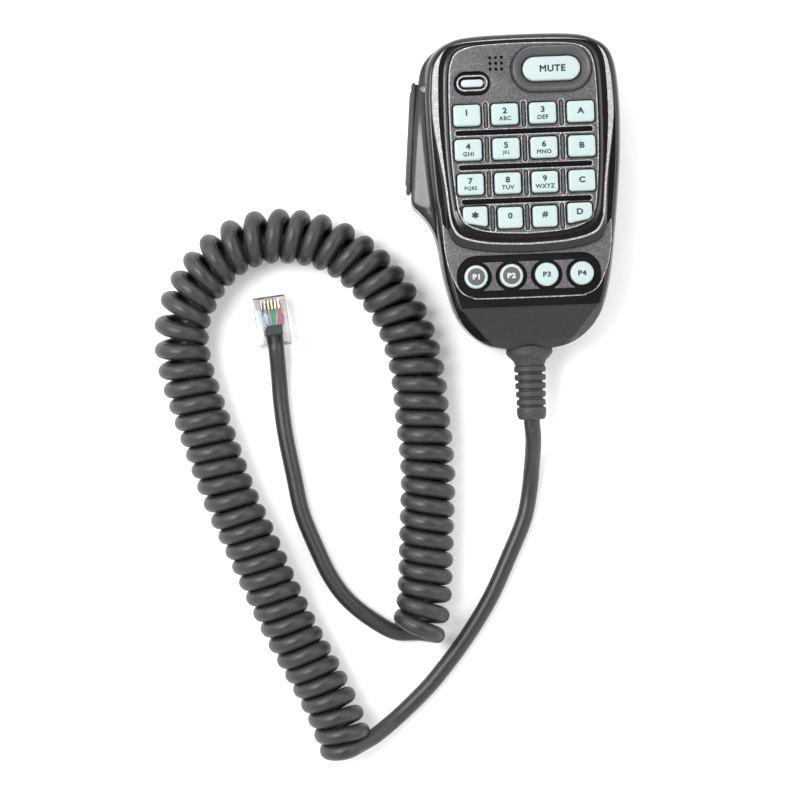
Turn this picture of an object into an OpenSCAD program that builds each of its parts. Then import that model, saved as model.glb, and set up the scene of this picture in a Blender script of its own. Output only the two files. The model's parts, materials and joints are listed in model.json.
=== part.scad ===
// Hand microphone with a sixteen-key pad, a mute key, four programmable keys, a side
// push-to-talk lever, a curly cord and a modular plug. Millimetres, lying on its back.
// +X is the case's right side, +Y its top end, +Z the key side.
// The origin is the centre of the hang-up stud's outer face.

/* [Case] */
// Width of the case without the lever's shroud
case_w = 57.2; // [54:0.2:70]
// Length of the case from top edge to bottom edge
case_l = 91.8; // [86:0.2:112]
// Height from the resting surface to the keypad panel's top
case_d = 29; // [27:0.2:36]
// Distance from the hang-up stud up to the case's top edge
stud_to_top = 36.4; // [34:0.2:42]
// Thickness of the case walls
wall = 1.8; // [1.5:0.1:2.2]
// Height of the line where the two case halves meet
split_z = 13; // [12.5:0.1:13.5]
// Height of the raised keypad island above the front face
island_h = 3.2; // [2.6:0.1:3.8]
// How far the lever's shroud stands out from the case side
shroud_out = 5.6; // [4.8:0.1:6]
// Height of the case's back above the resting surface
back_z = 7; // [6.6:0.1:7.4]

/* [Keys] */
// Width of a keypad key
key_w = 7.7; // [6.4:0.1:8]
// Depth of a keypad key along the case
key_h = 6.0; // [5:0.1:6.4]
// Corner radius of a keypad key
key_r = 0.9; // [0.5:0.1:1.6]
// How far the keys stand proud of the panel
key_proud = 1.2; // [1:0.1:2]
// Gap all round a key in its opening
key_gap = 0.3; // [0.25:0.05:0.4]
// Travel of every key
key_travel = 0.8; // [0.5:0.05:0.8]
// Width of the lip that holds a key under its opening
key_lip = 0.75; // [0.6:0.05:0.8]
// Length of the mute key
mute_w = 16.5; // [14:0.1:18]
// Depth of the mute key
mute_h = 6.9; // [6:0.1:7.4]
// Diameter of a programmable key
p_key_d = 6.7; // [5.8:0.1:7.2]
// Spacing of the programmable keys
p_pitch = 10.15; // [9.8:0.05:10.6]

/* [Push-to-talk] */
// Length of the lever's grip along the case
grip_l = 32; // [28:0.5:33]
// Height of the grip
grip_h = 9.6; // [8:0.2:10]
// Diameter of the lever's hinge pin
pin_d = 1.6; // [1.4:0.1:2]
// Running clearance round the hinge pin
pin_fit = 0.05; // [0.03:0.01:0.1]
// Swing of the lever in degrees
lever_swing = 3.5; // [2.5:0.1:3.5]

/* [Hang-up stud] */
// Diameter of the stud's head
stud_head_d = 11; // [9:0.2:13]
// Diameter of the stud's neck
stud_neck_d = 6.4; // [5:0.2:8]
// Thickness of the stud's head
stud_head_t = 1.6; // [1.4:0.1:1.8]

/* [Cord] */
// Diameter of the cord
cord_d = 4.8; // [4:0.1:5]
// Outer diameter of the curl
curl_d = 16.4; // [15:0.1:17]
// Clearance of the cord in its sleeve and plug
cord_fit = 0.06; // [0.05:0.01:0.15]

/* [Plug] */
// Width of the modular plug
plug_w = 9.6; // [9:0.1:10]
// Length of the modular plug
plug_l = 14.4; // [13:0.1:16]
// Thickness of the modular plug
plug_t = 6.6; // [6.4:0.1:7]
// Spacing of the plug's contacts
contact_pitch = 1.02; // [1:0.01:1.04]

/* [Hidden] */
$fn = 40;

eps = 0.01;                  // overshoot of a cut past the face it opens
big = 200;                   // longer than anything that it cuts
seat_gap = 0.05;             // gap between pieces that rest on each other
part_gap = 0.3;              // gap between a fitted piece and its recess

// Heights, from the key side down
panel_top = case_d;
panel_t = 1.6;
floor_t = 1.6;
panel_seat = panel_top - panel_t;
island_ceiling = panel_seat - floor_t;
face_z = panel_top - island_h;
p_panel_t = 0.8;
p_panel_top = face_z + 0.1;
p_seat = p_panel_top - p_panel_t;
face_ceiling = face_z - floor_t;
lip_t = 0.6;
dome_h = 0.35;
mat_t = 0.5;
board_t = 1.6;
stem_z = face_ceiling - seat_gap - lip_t - 0.3;
board_top = stem_z - key_travel - seat_gap - dome_h;
board_bottom = board_top - board_t;

// Places along and across the case
y_top = stud_to_top;
y_bot = y_top - case_l;
hw = case_w / 2;
panel_hw = hw - 7.4;
island_hw = hw - 4.4;
key_margin = 1.1;
col_pitch = (2 * (panel_hw - key_margin) - key_w) / 3;
mute_pos = [8.4, y_top - 11.9];
status_pos = [-14.4, y_top - 15.3];
mic_pos = [-7.4, y_top - 9.8];
row_1_y = y_top - 24.5;
p_y = y_bot + 21.3;
row_4_y = p_y + 16.4;
row_pitch = (row_1_y - row_4_y) / 3;
panel_y_top = y_top - 4.2;
panel_y_bot = row_4_y - key_h / 2 - 1.6;
island_y_top = y_top - 2.8;
island_y_bot = panel_y_bot - 5.4;
row_squeeze = [1, 1, 0.98, 0.92];
row_key_w = [key_w, key_w, key_w - 0.2, key_w - 0.7];
p_x = [for (i = [0:3]) (i - 1.5) * p_pitch];
mute_bezel_w = mute_w + 7;
mute_bezel_h = mute_h + 6.7;
status_w = 10.5;
status_h = 6.9;
lens_w = 6.4;
lens_h = 2.1;
mute_top = panel_top + 0.9;
bezel_top = panel_top + 1.5;
case_screw_pos = [[19, y_top - 7.4], [-19, y_top - 7.4], [14.5, y_bot + 8.4], [-14.5, y_bot + 8.4]];
gap_y = (row_1_y - row_pitch / 2);
board_screw_pos = [for (s = [-1, 1], r = [0, 1]) [s * col_pitch, gap_y - r * row_pitch]];

// Closed outlines, counter-clockwise
function spline(a, b, c, d, t) = 0.5 * (2 * b + (c - a) * t + (2 * a - 5 * b + 4 * c - d) * t * t
    + (3 * b - a - 3 * c + d) * t * t * t);
function smooth_loop(p, n) = [for (i = [0:len(p) - 1], k = [0:n - 1]) let (m = len(p))
    spline(p[(i + m - 1) % m], p[i], p[(i + 1) % m], p[(i + 2) % m], k / n)];
function clamp_at(p, i) = i < 0 ? 2 * p[0] - p[1] : i >= len(p) ? 2 * p[len(p) - 1] - p[len(p) - 2] : p[i];
function smooth_path(p, n) = concat([for (i = [0:len(p) - 2], k = [0:n - 1])
    spline(clamp_at(p, i - 1), p[i], clamp_at(p, i + 1), clamp_at(p, i + 2), k / n)], [p[len(p) - 1]]);
function unit(v) = v / norm(v);
function inset(p, d) = [for (i = [0:len(p) - 1]) let (m = len(p),
    t = unit(p[(i + 1) % m] - p[(i + m - 1) % m])) p[i] + d * [-t[1], t[0]]];
function reversed(p) = [for (i = [len(p) - 1:-1:0]) p[i]];

// Half width of the case at each corner point, from its top edge down
case_side = [[12, y_top - 0.3], [21.5, y_top - 2.2], [hw - 1.7, y_top - 7.4], [hw, y_top - 20],
    [hw - 0.4, y_top - 37], [hw - 2.1, y_top - 54], [hw - 4.6, y_bot + 20],
    [hw - 8, y_bot + 9.4], [14, y_bot + 2.6], [6, y_bot + 0.3]];
// How far the shroud stands out beside each of those points
shroud_side = [[21.5, y_top - 2.2, 0], [hw - 1.6, y_top - 7.6, 0.2], [hw - 0.1, y_top - 16, 0.3],
    [hw, y_top - 24, 0.48], [hw - 0.3, y_top - 33, 0.7],
    [hw - 0.8, y_top - 42, 0.9], [hw - 1.3, y_top - 48, 1], [hw - 1.8, y_top - 51, 0.66],
    [hw - 2.2, y_top - 55, 0.22], [hw - 2.8, y_top - 60, 0.03], [hw - 4.6, y_bot + 20, 0],
    [hw - 8, y_bot + 9.4, 0], [14, y_bot + 2.6, 0], [6, y_bot + 0.3, 0]];
function right_points() = reversed(case_side);
function left_points(s) = [for (p = shroud_side) [-p[0] - s * shroud_out * p[2], p[1]]];
function case_outline(s) = smooth_loop(concat(right_points(), [[-12, y_top - 0.3]], left_points(s)), 3);
function pad_side(w, top, bottom) = [[0.35 * w, top], [w - 5, top - 0.9], [w - 1.2, top - 4],
    [w, top - 12], [w, row_1_y - row_pitch], [w - 0.9, bottom + 11], [w - 2, bottom + 5.4],
    [w - 4.6, bottom + 2.4], [0.5 * w, bottom + 0.6], [0.1 * w, bottom]];
function pad_outline(w, top, bottom) = let (p = pad_side(w, top, bottom))
    smooth_loop(concat(reversed(p), [for (q = p) [-q[0], q[1]]]), 3);

module prism(p, z0, z1) translate([0, 0, z0]) linear_extrude(z1 - z0) polygon(p);
module rounded(w, h, r) {
    square([w - 2 * r, h], center = true);
    square([w, h - 2 * r], center = true);
    for (x = [-1, 1], y = [-1, 1]) translate([x * (w / 2 - r), y * (h / 2 - r)]) circle(r);
}
module stadium(w, h) {
    square([w - h, h], center = true);
    for (x = [-1, 1]) translate([x * (w - h) / 2, 0]) circle(h / 2);
}
module at(p, z0, z1) translate([p[0], p[1], z0]) linear_extrude(z1 - z0) children();
module along_y(y0, y1, r) translate([0, y0, 0]) rotate([-90, 0, 0]) cylinder(h = y1 - y0, r = r);

// Tube of radius r with n sides swept along a route
function side_dir(t) = unit(cross(abs(t[2]) > 0.9 ? [0, 1, 0] : [0, 0, 1], t));
function tangent(p, i) = unit(p[min(i + 1, len(p) - 1)] - p[max(i - 1, 0)]);
module swept(p, r, n) {
    m = len(p);
    points = [for (i = [0:m - 1], k = [0:n - 1]) let (t = tangent(p, i), u = side_dir(t),
        v = cross(t, u), a = k * 360 / n) p[i] + r * (cos(a) * u + sin(a) * v)];
    sides = [for (i = [0:m - 2], k = [0:n - 1], s = [0, 1]) let (a = i * n + k, b = i * n + (k + 1) % n)
        s == 0 ? [a, b, a + n] : [b, b + n, a + n]];
    polyhedron(points, concat(sides, [[for (k = [n - 1:-1:0]) k]], [[for (k = [0:n - 1]) (m - 1) * n + k]]),
        convexity = 8);
}

// Case halves
// Each half is a stack of slabs: where each one stops, how far it steps in, how much shroud it has
front_z = [split_z + 6, face_z - 4, face_z - 2.2, face_z - 0.9, face_z];
front_in = [0, 0.5, 1.3, 2.3, 3.4];
front_shroud = [1, 0.8, 0.4, 0.1, 0];
rear_z = [back_z, back_z + 0.8, back_z + 1.9, back_z + 3.4];
rear_in = [3.2, 1.5, 0.5, 0];
rear_shroud = [0.5, 0.85, 1, 1];
palm_z = [0, 0.6, 1.8, 3.6, 5.4];
palm_in = [8, 5, 2.6, 1, 0];
palm_a = 20.5;
palm_b = 18;
chin_y = y_bot + 12.4;
chin_angle = 29;
lower_in = wall + 0.4;
upper_in = wall + 1.6;
upper_cavity_z = face_z - 4.6;
grip_z0 = split_z + 1 - grip_h / 2;
grip_z1 = grip_z0 + grip_h;
grip_room = 0.4;

module chin(drop) translate([0, chin_y, face_z - drop]) rotate([chin_angle, 0, 0])
    translate([-big / 2, -big, 0]) cube([big, big, big]);
module front_outer() difference() {
    union() {
        for (i = [0:len(front_z) - 1]) prism(inset(case_outline(front_shroud[i]), front_in[i]),
            i == 0 ? split_z : front_z[i - 1] - 1, front_z[i]);
        prism(pad_outline(island_hw, island_y_top, island_y_bot), face_z - 1, face_z + 0.9);
        prism(pad_outline(island_hw - 1, island_y_top - 0.5, island_y_bot + 1.7), face_z - 1, face_z + 2);
        prism(pad_outline(panel_hw + 1, panel_y_top + 0.5, panel_y_bot - 1.4), face_z - 1, panel_top);
    }
    chin(0);
}
module front_bosses() {
    for (p = case_screw_pos) translate([p[0], p[1], split_z - eps]) cylinder(h = big, r = 2.8);
    for (p = board_screw_pos) translate([p[0], p[1], board_top]) cylinder(h = big, r = 1.6);
    difference() {
        translate([mic_pos[0], mic_pos[1], board_top]) cylinder(h = big, r = boot_r + 0.8);
        translate([mic_pos[0], mic_pos[1], 0]) cylinder(h = big, r = boot_r + 0.1);
    }
    pin_post(split_z, big);
}
module front_cavity() difference() {
    union() {
        prism(inset(case_outline(0), lower_in), split_z - eps, upper_cavity_z);
        prism(inset(case_outline(0), upper_in), split_z - eps, face_ceiling);
        prism(pad_outline(panel_hw + 0.9, panel_y_top - 1, panel_y_bot - 2.4), split_z, island_ceiling);
        ptt_room();
    }
    chin(2 * wall);
    front_bosses();
}
module front_case() color([0.05, 0.05, 0.055]) difference() {
    front_outer();
    front_cavity();
    prism(pad_outline(panel_hw + 0.1, panel_y_top + 0.1, panel_y_bot - 0.1), panel_seat, big);
    p_recess();
    key_openings(key_gap, face_ceiling - 2, big);
    at(mute_pos, island_ceiling - 2, big) stadium(mute_w + 2 * key_gap, mute_h + 2 * key_gap);
    at(status_pos, island_ceiling - 2, big) stadium(lens_w + part_gap, lens_h + part_gap);
    at(status_pos, board_top, island_ceiling) stadium(lens_w + 1.4 + part_gap, lens_h + 1.4 + part_gap);
    at(mic_pos, board_top, island_ceiling) circle(boot_r + 0.1);
    mic_holes(panel_seat - floor_t - 1, panel_seat + 1);
    for (p = p_x) at([p, p_y], face_ceiling - 2, big) circle(p_key_d / 2 + key_gap);
    for (p = case_screw_pos) translate([p[0], p[1], split_z - eps]) cylinder(h = 7, r = 0.95);
    for (p = board_screw_pos) translate([p[0], p[1], board_top - 1]) cylinder(h = 3.4, r = 0.75);
    ptt_opening();
    pin_hole(0, grip_z1 + 2.2);
    cord_exit();
}

module palm(shrink) for (i = [0:4]) prism([for (k = [0:35]) let (c = palm_in[i] + shrink)
    [(palm_a - c) * cos(10 * k), palm_y + (palm_b - c) * sin(10 * k)]],
    max(palm_z[i], shrink), i == 4 ? back_z + 2 : palm_z[i + 1] + 0.3);
palm_y = y_bot + 24;
module rear_bosses() {
    for (p = case_screw_pos) translate([p[0], p[1], 0]) cylinder(h = split_z - seat_gap, r = 3.1);
    translate([0, 0, back_z]) cylinder(h = 5, r = 3.4);
    translate([-6, cord_clamp_y - 2, 0]) cube([12, 4, split_z - cord_d / 2 - 0.1]);
    pin_post(0, split_z);
}
module rear_case() color([0.06, 0.06, 0.065]) difference() {
    union() {
        for (i = [0:len(rear_z) - 1]) prism(inset(case_outline(rear_shroud[i]), rear_in[i]),
            rear_z[i], i == 3 ? split_z : rear_z[i + 1] + 1);
        palm(0);
    }
    difference() {
        union() {
            prism(inset(case_outline(0), lower_in), back_z + 1.9 + wall, split_z + eps);
            prism(inset(case_outline(0), lower_in + 2), back_z + wall, split_z);
            translate([0, palm_y, wall + 1]) cylinder(h = back_z + 3, r = 13.5);
            ptt_room();
        }
        rear_bosses();
    }
    for (p = case_screw_pos) {
        translate([p[0], p[1], 0]) cylinder(h = big, r = 1.35);
        translate([p[0], p[1], 0]) cylinder(h = screw_seat_z, r = 2.3);
    }
    translate([0, 0, back_z - eps]) cylinder(h = 4.4, r = 0.95);
    ptt_opening();
    pin_hole(grip_z0 - 2.2, big);
    cord_exit();
}
screw_seat_z = back_z + 2.6;

// Openings shared by the keys, the panels and the case
key_names = [["key_1", "key_2", "key_3", "key_a"], ["key_4", "key_5", "key_6", "key_b"],
    ["key_7", "key_8", "key_9", "key_c"], ["key_star", "key_0", "key_hash", "key_d"]];
function key_pos(r, c) = [(c - 1.5) * col_pitch * row_squeeze[r],
    row_1_y - r * row_pitch + (r == 3 && (c == 0 || c == 3) ? 0.5 : 0)];
corner_cut = 1.3;
module key_shape(r, c, grow) {
    w = row_key_w[r] + 2 * grow;
    h = key_h + 2 * grow;
    side = c == 0 ? -1 : 1;
    difference() {
        rounded(w, h, key_r + grow);
        if (r == 3 && (c == 0 || c == 3)) translate([side * w / 2, -h / 2 + corner_cut])
            rotate(side * 11) translate([-big / 2, -2 * h]) square([big, 2 * h]);
    }
}
module key_openings(grow, z0, z1) for (r = [0:3], c = [0:3]) at(key_pos(r, c), z0, z1) key_shape(r, c, grow);
module mic_holes(z0, z1) for (i = [-1:1], j = [-1:1])
    translate([mic_pos[0] + 1.65 * i, mic_pos[1] + 1.65 * j, z0]) cylinder(h = z1 - z0, r = 0.5);
module p_outline(grow) {
    w = island_hw + 0.1 + grow;
    y0 = y_bot + 14.6 - grow;
    polygon([[-w, island_y_bot + 9], [-w + 0.3, p_y + 8], [-w + 2.7, p_y - 2.2], [-w + 4.4, y0 + 1],
        [-w + 8, y0], [w - 8, y0], [w - 4.4, y0 + 1], [w - 2.7, p_y - 2.2], [w - 0.3, p_y + 8],
        [w, island_y_bot + 9]]);
}
module p_recess() at([0, 0], p_seat, big) difference() {
    p_outline(0.1);
    polygon(pad_outline(island_hw - 0.1, island_y_top - 0.1, island_y_bot + 0.1));
}

// Face parts
module keypad_panel() color([0.36, 0.36, 0.37]) difference() {
    prism(pad_outline(panel_hw, panel_y_top, panel_y_bot), panel_seat, panel_top);
    key_openings(key_gap, 0, big);
    at(mute_pos, 0, big) stadium(mute_bezel_w + 0.2, mute_bezel_h + 0.2);
    at(status_pos, 0, big) stadium(status_w + 0.2, status_h + 0.2);
    mic_holes(0, big);
    for (c = [-1:1], r = [0:3]) at([c * col_pitch * row_squeeze[r], row_1_y - r * row_pitch],
        panel_top - 0.6, big) rounded(1.9, key_h, 0.9);
    for (r = [0:2], s = [-1, 1]) at([0, row_1_y - (r + 0.5) * row_pitch + 0.75 * s],
        panel_top - 0.5, big) square([2 * panel_hw - 3.4, 0.7], center = true);
}
module p_key_panel() color([0.36, 0.36, 0.37]) difference() {
    at([0, 0], p_seat, p_panel_top) difference() {
        p_outline(0);
        polygon(pad_outline(island_hw, island_y_top, island_y_bot));
    }
    for (p = p_x) at([p, p_y], 0, big) circle(p_key_d / 2 + 1.25);
    at([0, p_y], 0, big) square([3 * p_pitch, 3.6], center = true);
}
module mute_bezel() color([0.05, 0.05, 0.055]) difference() {
    union() {
        at(mute_pos, panel_seat, bezel_top - 0.7) stadium(mute_bezel_w, mute_bezel_h);
        at(mute_pos, bezel_top - 0.8, bezel_top) stadium(mute_bezel_w - 1, mute_bezel_h - 1);
    }
    at(mute_pos, 0, big) stadium(mute_w + 2 * key_gap, mute_h + 2 * key_gap);
    at(mute_pos, panel_top + 0.4, big) stadium(mute_w + 2, mute_h + 2);
    at(mute_pos, panel_top + 0.9, big) stadium(mute_w + 4, mute_h + 4);
}
module status_bezel() color([0.05, 0.05, 0.055]) difference() {
    union() {
        at(status_pos, panel_seat, panel_top + 0.2) stadium(status_w, status_h);
        at(status_pos, panel_seat, panel_top + 0.7) stadium(status_w - 1.6, status_h - 2.3);
    }
    at(status_pos, 0, big) stadium(lens_w + part_gap, lens_h + part_gap);
}
module status_lens() color([0.78, 0.84, 0.95]) union() {
    at(status_pos, board_top + 1.8, panel_top + 0.5) stadium(lens_w, lens_h);
    at(status_pos, board_top + 1.8, island_ceiling - seat_gap) stadium(lens_w + 1.4, lens_h + 1.4);
}

// Keys
mint = [0.87, 1, 0.98];
module key_stem(pos, z) translate([pos[0], pos[1], stem_z]) cylinder(h = z - stem_z + eps, r = 1.2);
module keypad_key(r, c) color(mint) {
    lip_z = island_ceiling - seat_gap - lip_t;
    top = panel_top + key_proud;
    at(key_pos(r, c), lip_z, lip_z + lip_t) rounded(row_key_w[r] + 2 * key_lip, key_h + 2 * key_lip, 1.2);
    at(key_pos(r, c), lip_z, top - 0.4) key_shape(r, c, 0);
    at(key_pos(r, c), top - 0.5, top) key_shape(r, c, -0.35);
    key_stem(key_pos(r, c), lip_z);
}
module key_mute() color(mint) {
    lip_z = island_ceiling - seat_gap - lip_t;
    at(mute_pos, lip_z, lip_z + lip_t) stadium(mute_w + 2 * key_lip, mute_h + 2 * key_lip);
    at(mute_pos, lip_z, mute_top - 0.4) stadium(mute_w, mute_h);
    at(mute_pos, mute_top - 0.5, mute_top) stadium(mute_w - 0.8, mute_h - 0.8);
    key_stem(mute_pos, lip_z);
}
module p_key(i) color(i < 2 ? [0.22, 0.22, 0.23] : mint) {
    lip_z = face_ceiling - seat_gap - lip_t;
    top = face_z + 1.3;
    at([p_x[i], p_y], lip_z, lip_z + lip_t) circle(p_key_d / 2 + key_lip);
    at([p_x[i], p_y], lip_z, top - 0.4) circle(p_key_d / 2);
    at([p_x[i], p_y], top - 0.5, top) circle(p_key_d / 2 - 0.35);
    key_stem([p_x[i], p_y], lip_z);
}

// Push-to-talk lever: its outer face leans out towards its lower end
lean = 5;
pin_pos = [-hw + 0.3, y_top - 15.2];
grip_top = [-hw - 3.4, y_top - 12.8];
nub_y = pin_pos[1] - 24;
function grip_at(d, inward) = grip_top + d * [-sin(lean), -cos(lean)] + inward * [cos(lean), -sin(lean)];
plate_in = 1.5;
plate_t = 1.8;
knuckle_r = 1.8;
module ptt_lever() color([0.08, 0.08, 0.085]) difference() {
    union() {
        at([0, 0], grip_z0 + 0.6, grip_z1 - 0.6) polygon([grip_at(0.4, plate_in),
            grip_at(grip_l - 0.4, plate_in), grip_at(grip_l - 0.4, plate_in + 0.7),
            grip_at(grip_l + 2.4, plate_in + 1.3), grip_at(grip_l + 2.4, plate_in + 2.3),
            grip_at(grip_l - 1.6, plate_in + plate_t), grip_at(0.4, plate_in + plate_t)]);
        at(pin_pos, grip_z0 + 1, grip_z1 - 1) circle(knuckle_r);
        at([0, 0], grip_z0 + 1, grip_z1 - 1) polygon([grip_at(0.6, plate_in + 0.5), grip_at(4.4, plate_in + 0.5),
            pin_pos + [0.9, -1.4], pin_pos + [0.9, 1.4]]);
        at([0, 0], split_z - 0.5, split_z + 2.5) polygon([grip_at(24.5, plate_in + 1),
            grip_at(28.5, plate_in + 1), [plunger_x - 0.1, nub_y - 1.2], [plunger_x - 0.1, nub_y + 1.2]]);
    }
    translate([pin_pos[0], pin_pos[1], 0]) cylinder(h = big, r = pin_d / 2 + pin_fit);
}
rib_count = 26;
module ptt_grip() color([0.07, 0.07, 0.07]) union() {
    at([0, 0], grip_z0, grip_z1) polygon([grip_at(0.5, 0.4), grip_at(grip_l - 0.5, 0.4),
        grip_at(grip_l, 0.8), grip_at(grip_l, plate_in), grip_at(0, plate_in), grip_at(0, 0.8)]);
    for (i = [0:rib_count - 1]) let (d = 3 + i * (grip_l - 6) / (rib_count - 1))
        at([0, 0], grip_z0 + 1, grip_z1 - 1) polygon([grip_at(d - 0.3, 0.5), grip_at(d + 0.3, 0.5),
            grip_at(d + 0.15, 0), grip_at(d - 0.15, 0)]);
}
module ptt_pin() color("silver") translate([pin_pos[0], pin_pos[1], grip_z0 - 2.1])
    cylinder(h = grip_h + 4.2, r = pin_d / 2);
module pin_post(z0, z1) intersection() {
    translate([pin_pos[0] + 0.8, pin_pos[1], z0]) cylinder(h = z1 - z0, r = 2.6);
    difference() {
        translate([-big / 2, -big / 2, z0]) cube([big, big, z1 - z0]);
        translate([-big / 2, -big / 2, grip_z0 + 0.4]) cube([big, big, grip_h - 0.8]);
    }
}
module pin_hole(z0, z1) translate([pin_pos[0], pin_pos[1], max(z0, grip_z0 - 2.2)])
    cylinder(h = min(z1, grip_z1 + 2.2) - max(z0, grip_z0 - 2.2), r = pin_d / 2 + 0.02);
module ptt_opening() at([0, 0], grip_z0 - grip_room, grip_z1 + grip_room) polygon([
    grip_at(-grip_room, -6), grip_at(grip_l + grip_room, -6), grip_at(grip_l + grip_room, plate_in + 3),
    grip_at(-grip_room, plate_in + 3)]);
module ptt_room() at([0, 0], grip_z0 - grip_room, grip_z1 + grip_room) polygon([
    grip_at(-grip_room, plate_in + 0.2), grip_at(grip_l + grip_room, plate_in + 0.2),
    grip_at(grip_l + 3.4, plate_in + 0.9), grip_at(grip_l + 3.4, plate_in + 8), grip_at(-grip_room, plate_in + 8)]);

// Spring between the lever and a post on the switch's side
spring_y = pin_pos[1] - 14;
spring_x0 = grip_at(15.7, plate_in + plate_t)[0] + 0.35;
spring_len = 4.6;
spring_turns = 5;
spring_r = 1.6;
spring_wire_r = 0.2;
spring_steps = 12 * spring_turns;
spring_sides = 6;
// Wire of the spring: round a small circle b that itself goes round the coil a
module ptt_spring() color("silver") translate([spring_x0 + spring_wire_r, spring_y, split_z + 1]) {
    points = [for (k = [0:spring_steps], i = [0:spring_sides - 1]) let (a = 30 * k,
        b = 360 * i / spring_sides, r = spring_r + spring_wire_r * cos(b))
        [(spring_len - 2 * spring_wire_r) * k / spring_steps + spring_wire_r * sin(b), r * cos(a), r * sin(a)]];
    sides = [for (k = [0:spring_steps - 1], i = [0:spring_sides - 1], s = [0, 1])
        let (a = k * spring_sides + i, b = k * spring_sides + (i + 1) % spring_sides)
        s == 0 ? [a, b, a + spring_sides] : [b, b + spring_sides, a + spring_sides]];
    polyhedron(points, concat(sides, [[for (i = [spring_sides - 1:-1:0]) i]],
        [[for (i = [0:spring_sides - 1]) spring_steps * spring_sides + i]]), convexity = 8);
}
plunger_x = -hw + 1.8;
switch_x = plunger_x + 2;
switch_bottom = split_z - 1.5;
module ptt_switch() color([0.2, 0.2, 0.22]) difference() {
    union() {
        translate([switch_x, nub_y - 4, switch_bottom]) cube([5.4, 8, board_bottom - seat_gap - switch_bottom]);
        translate([spring_x0 + spring_len + 0.05, nub_y + 3.8, switch_bottom])
            cube([2.2, spring_y + 2.4 - nub_y - 3.8, 5]);
        translate([switch_x, nub_y + 3, switch_bottom]) cube([spring_x0 + spring_len + 2.2 - switch_x, 2, 5]);
    }
    translate([switch_x - 1, nub_y - 1.05, split_z - 0.05]) cube([4.2, 2.1, 2.1]);
}
module ptt_plunger() color([0.75, 0.1, 0.1]) translate([plunger_x, nub_y - 1, split_z])
    cube([3.4, 2, 2]);

// Electronics
module board_outline(grow) intersection() {
    polygon(inset(case_outline(0), upper_in + 0.5 - grow));
    translate([-big / 2, p_y - 6.2]) square([big, y_top - 4.6 - (p_y - 6.2)]);
}
module keypad_mat() color([0.75, 0.78, 0.78]) at([0, 0], board_top, board_top + mat_t) difference() {
    board_outline(-1.2);
    for (r = [0:3], c = [0:3]) translate(key_pos(r, c)) circle(2.6);
    for (p = p_x) translate([p, p_y]) circle(2.6);
    translate(mute_pos) circle(2.6);
    translate(mic_pos) circle(boot_r + 1.4);
    translate(status_pos) square([8.6, 4.4], center = true);
    for (p = case_screw_pos) translate(p) circle(3.6);
    for (p = board_screw_pos) translate(p) circle(2.1);
    for (p = led_pos) translate(p) square([2.4, 2], center = true);
}
module main_board() color([0.05, 0.3, 0.16]) at([0, 0], board_bottom, board_top - seat_gap) difference() {
    board_outline(0);
    translate(mic_pos) circle(boot_r + 1);
    for (p = case_screw_pos) translate(p) circle(3.4);
    for (p = board_screw_pos) translate(p) circle(1.1);
}
module dome_switches() color("silver") {
    for (r = [0:3], c = [0:3]) dome(key_pos(r, c));
    for (p = p_x) dome([p, p_y]);
    dome(mute_pos);
}
module dome(pos) translate([pos[0], pos[1], board_top]) cylinder(h = dome_h, r = 2.1);
module board_screws() color("silver") for (p = board_screw_pos) {
    translate([p[0], p[1], board_bottom - 1.2]) cylinder(h = 1.15, r = 1.9);
    translate([p[0], p[1], board_bottom - 0.3]) cylinder(h = board_t + 2.2, r = 0.72);
}
capsule_top = island_ceiling - 1.2;
boot_r = 5.2;
boot_t = 1;
module mic_capsule() color([0.75, 0.75, 0.77])
    translate([mic_pos[0], mic_pos[1], capsule_top - 5]) cylinder(h = 5, r = boot_r - boot_t - seat_gap);
module mic_boot() color([0.09, 0.09, 0.09]) translate([mic_pos[0], mic_pos[1], capsule_top - 5.8]) difference() {
    cylinder(h = 6.4, r = boot_r);
    translate([0, 0, 0.75]) cylinder(h = 5.65 + eps, r = boot_r - boot_t);
}
module mic_felt() color([0.2, 0.2, 0.2])
    translate([mic_pos[0], mic_pos[1], capsule_top + 0.65]) cylinder(h = 0.45, r = boot_r - 0.2);
module status_led() color([0.95, 0.95, 0.85])
    translate([status_pos[0] - 1.6, status_pos[1] - 0.8, board_top]) cube([3.2, 1.6, 1.1]);
led_pos = [for (r = [0:2]) [0, gap_y - r * row_pitch]];
module backlight_leds() color([0.95, 0.95, 0.85]) for (p = led_pos)
    translate([p[0] - 0.8, p[1] - 0.6, board_top]) cube([1.6, 1.2, 0.45]);
module controller_chip() color([0.1, 0.1, 0.1])
    translate([-3, row_1_y - 2 * row_pitch, board_bottom - 1.5]) cube([10, 10, 1.45]);
module cord_header() color([0.9, 0.9, 0.85]) translate([-6, p_y - 2, board_bottom - 5]) cube([12, 5, 4.95]);
cord_clamp_y = y_bot + 8;
module cord_clamp() color([0.12, 0.12, 0.12]) difference() {
    translate([-6, cord_clamp_y - 2, split_z - cord_d / 2]) cube([12, 4, cord_d + 0.8]);
    translate([0, 0, split_z]) along_y(cord_clamp_y - 3, cord_clamp_y + 3, cord_d / 2 + cord_fit);
}

// Fasteners
module case_screws() color("silver") for (p = case_screw_pos) {
    translate([p[0], p[1], screw_seat_z - 1.4 - seat_gap]) cylinder(h = 1.4, r = 2.1);
    translate([p[0], p[1], screw_seat_z - 0.5]) cylinder(h = 8, r = 0.93);
}
module hang_stud() color([0.07, 0.07, 0.075]) difference() {
    union() {
        cylinder(h = stud_head_t, r = stud_head_d / 2);
        cylinder(h = back_z - 0.5, r = stud_neck_d / 2);
        translate([0, 0, back_z - 0.95]) cylinder(h = 0.95 - seat_gap, r = 6.6);
    }
    translate([0, 0, -eps]) cylinder(h = 2.4, r = 2.25);
    cylinder(h = big, r = 1.3);
}
module stud_screw() color("silver") {
    translate([0, 0, 0.7]) cylinder(h = 1.6, r = 2.1);
    translate([0, 0, 2]) cylinder(h = back_z + 2, r = 0.93);
}

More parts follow.
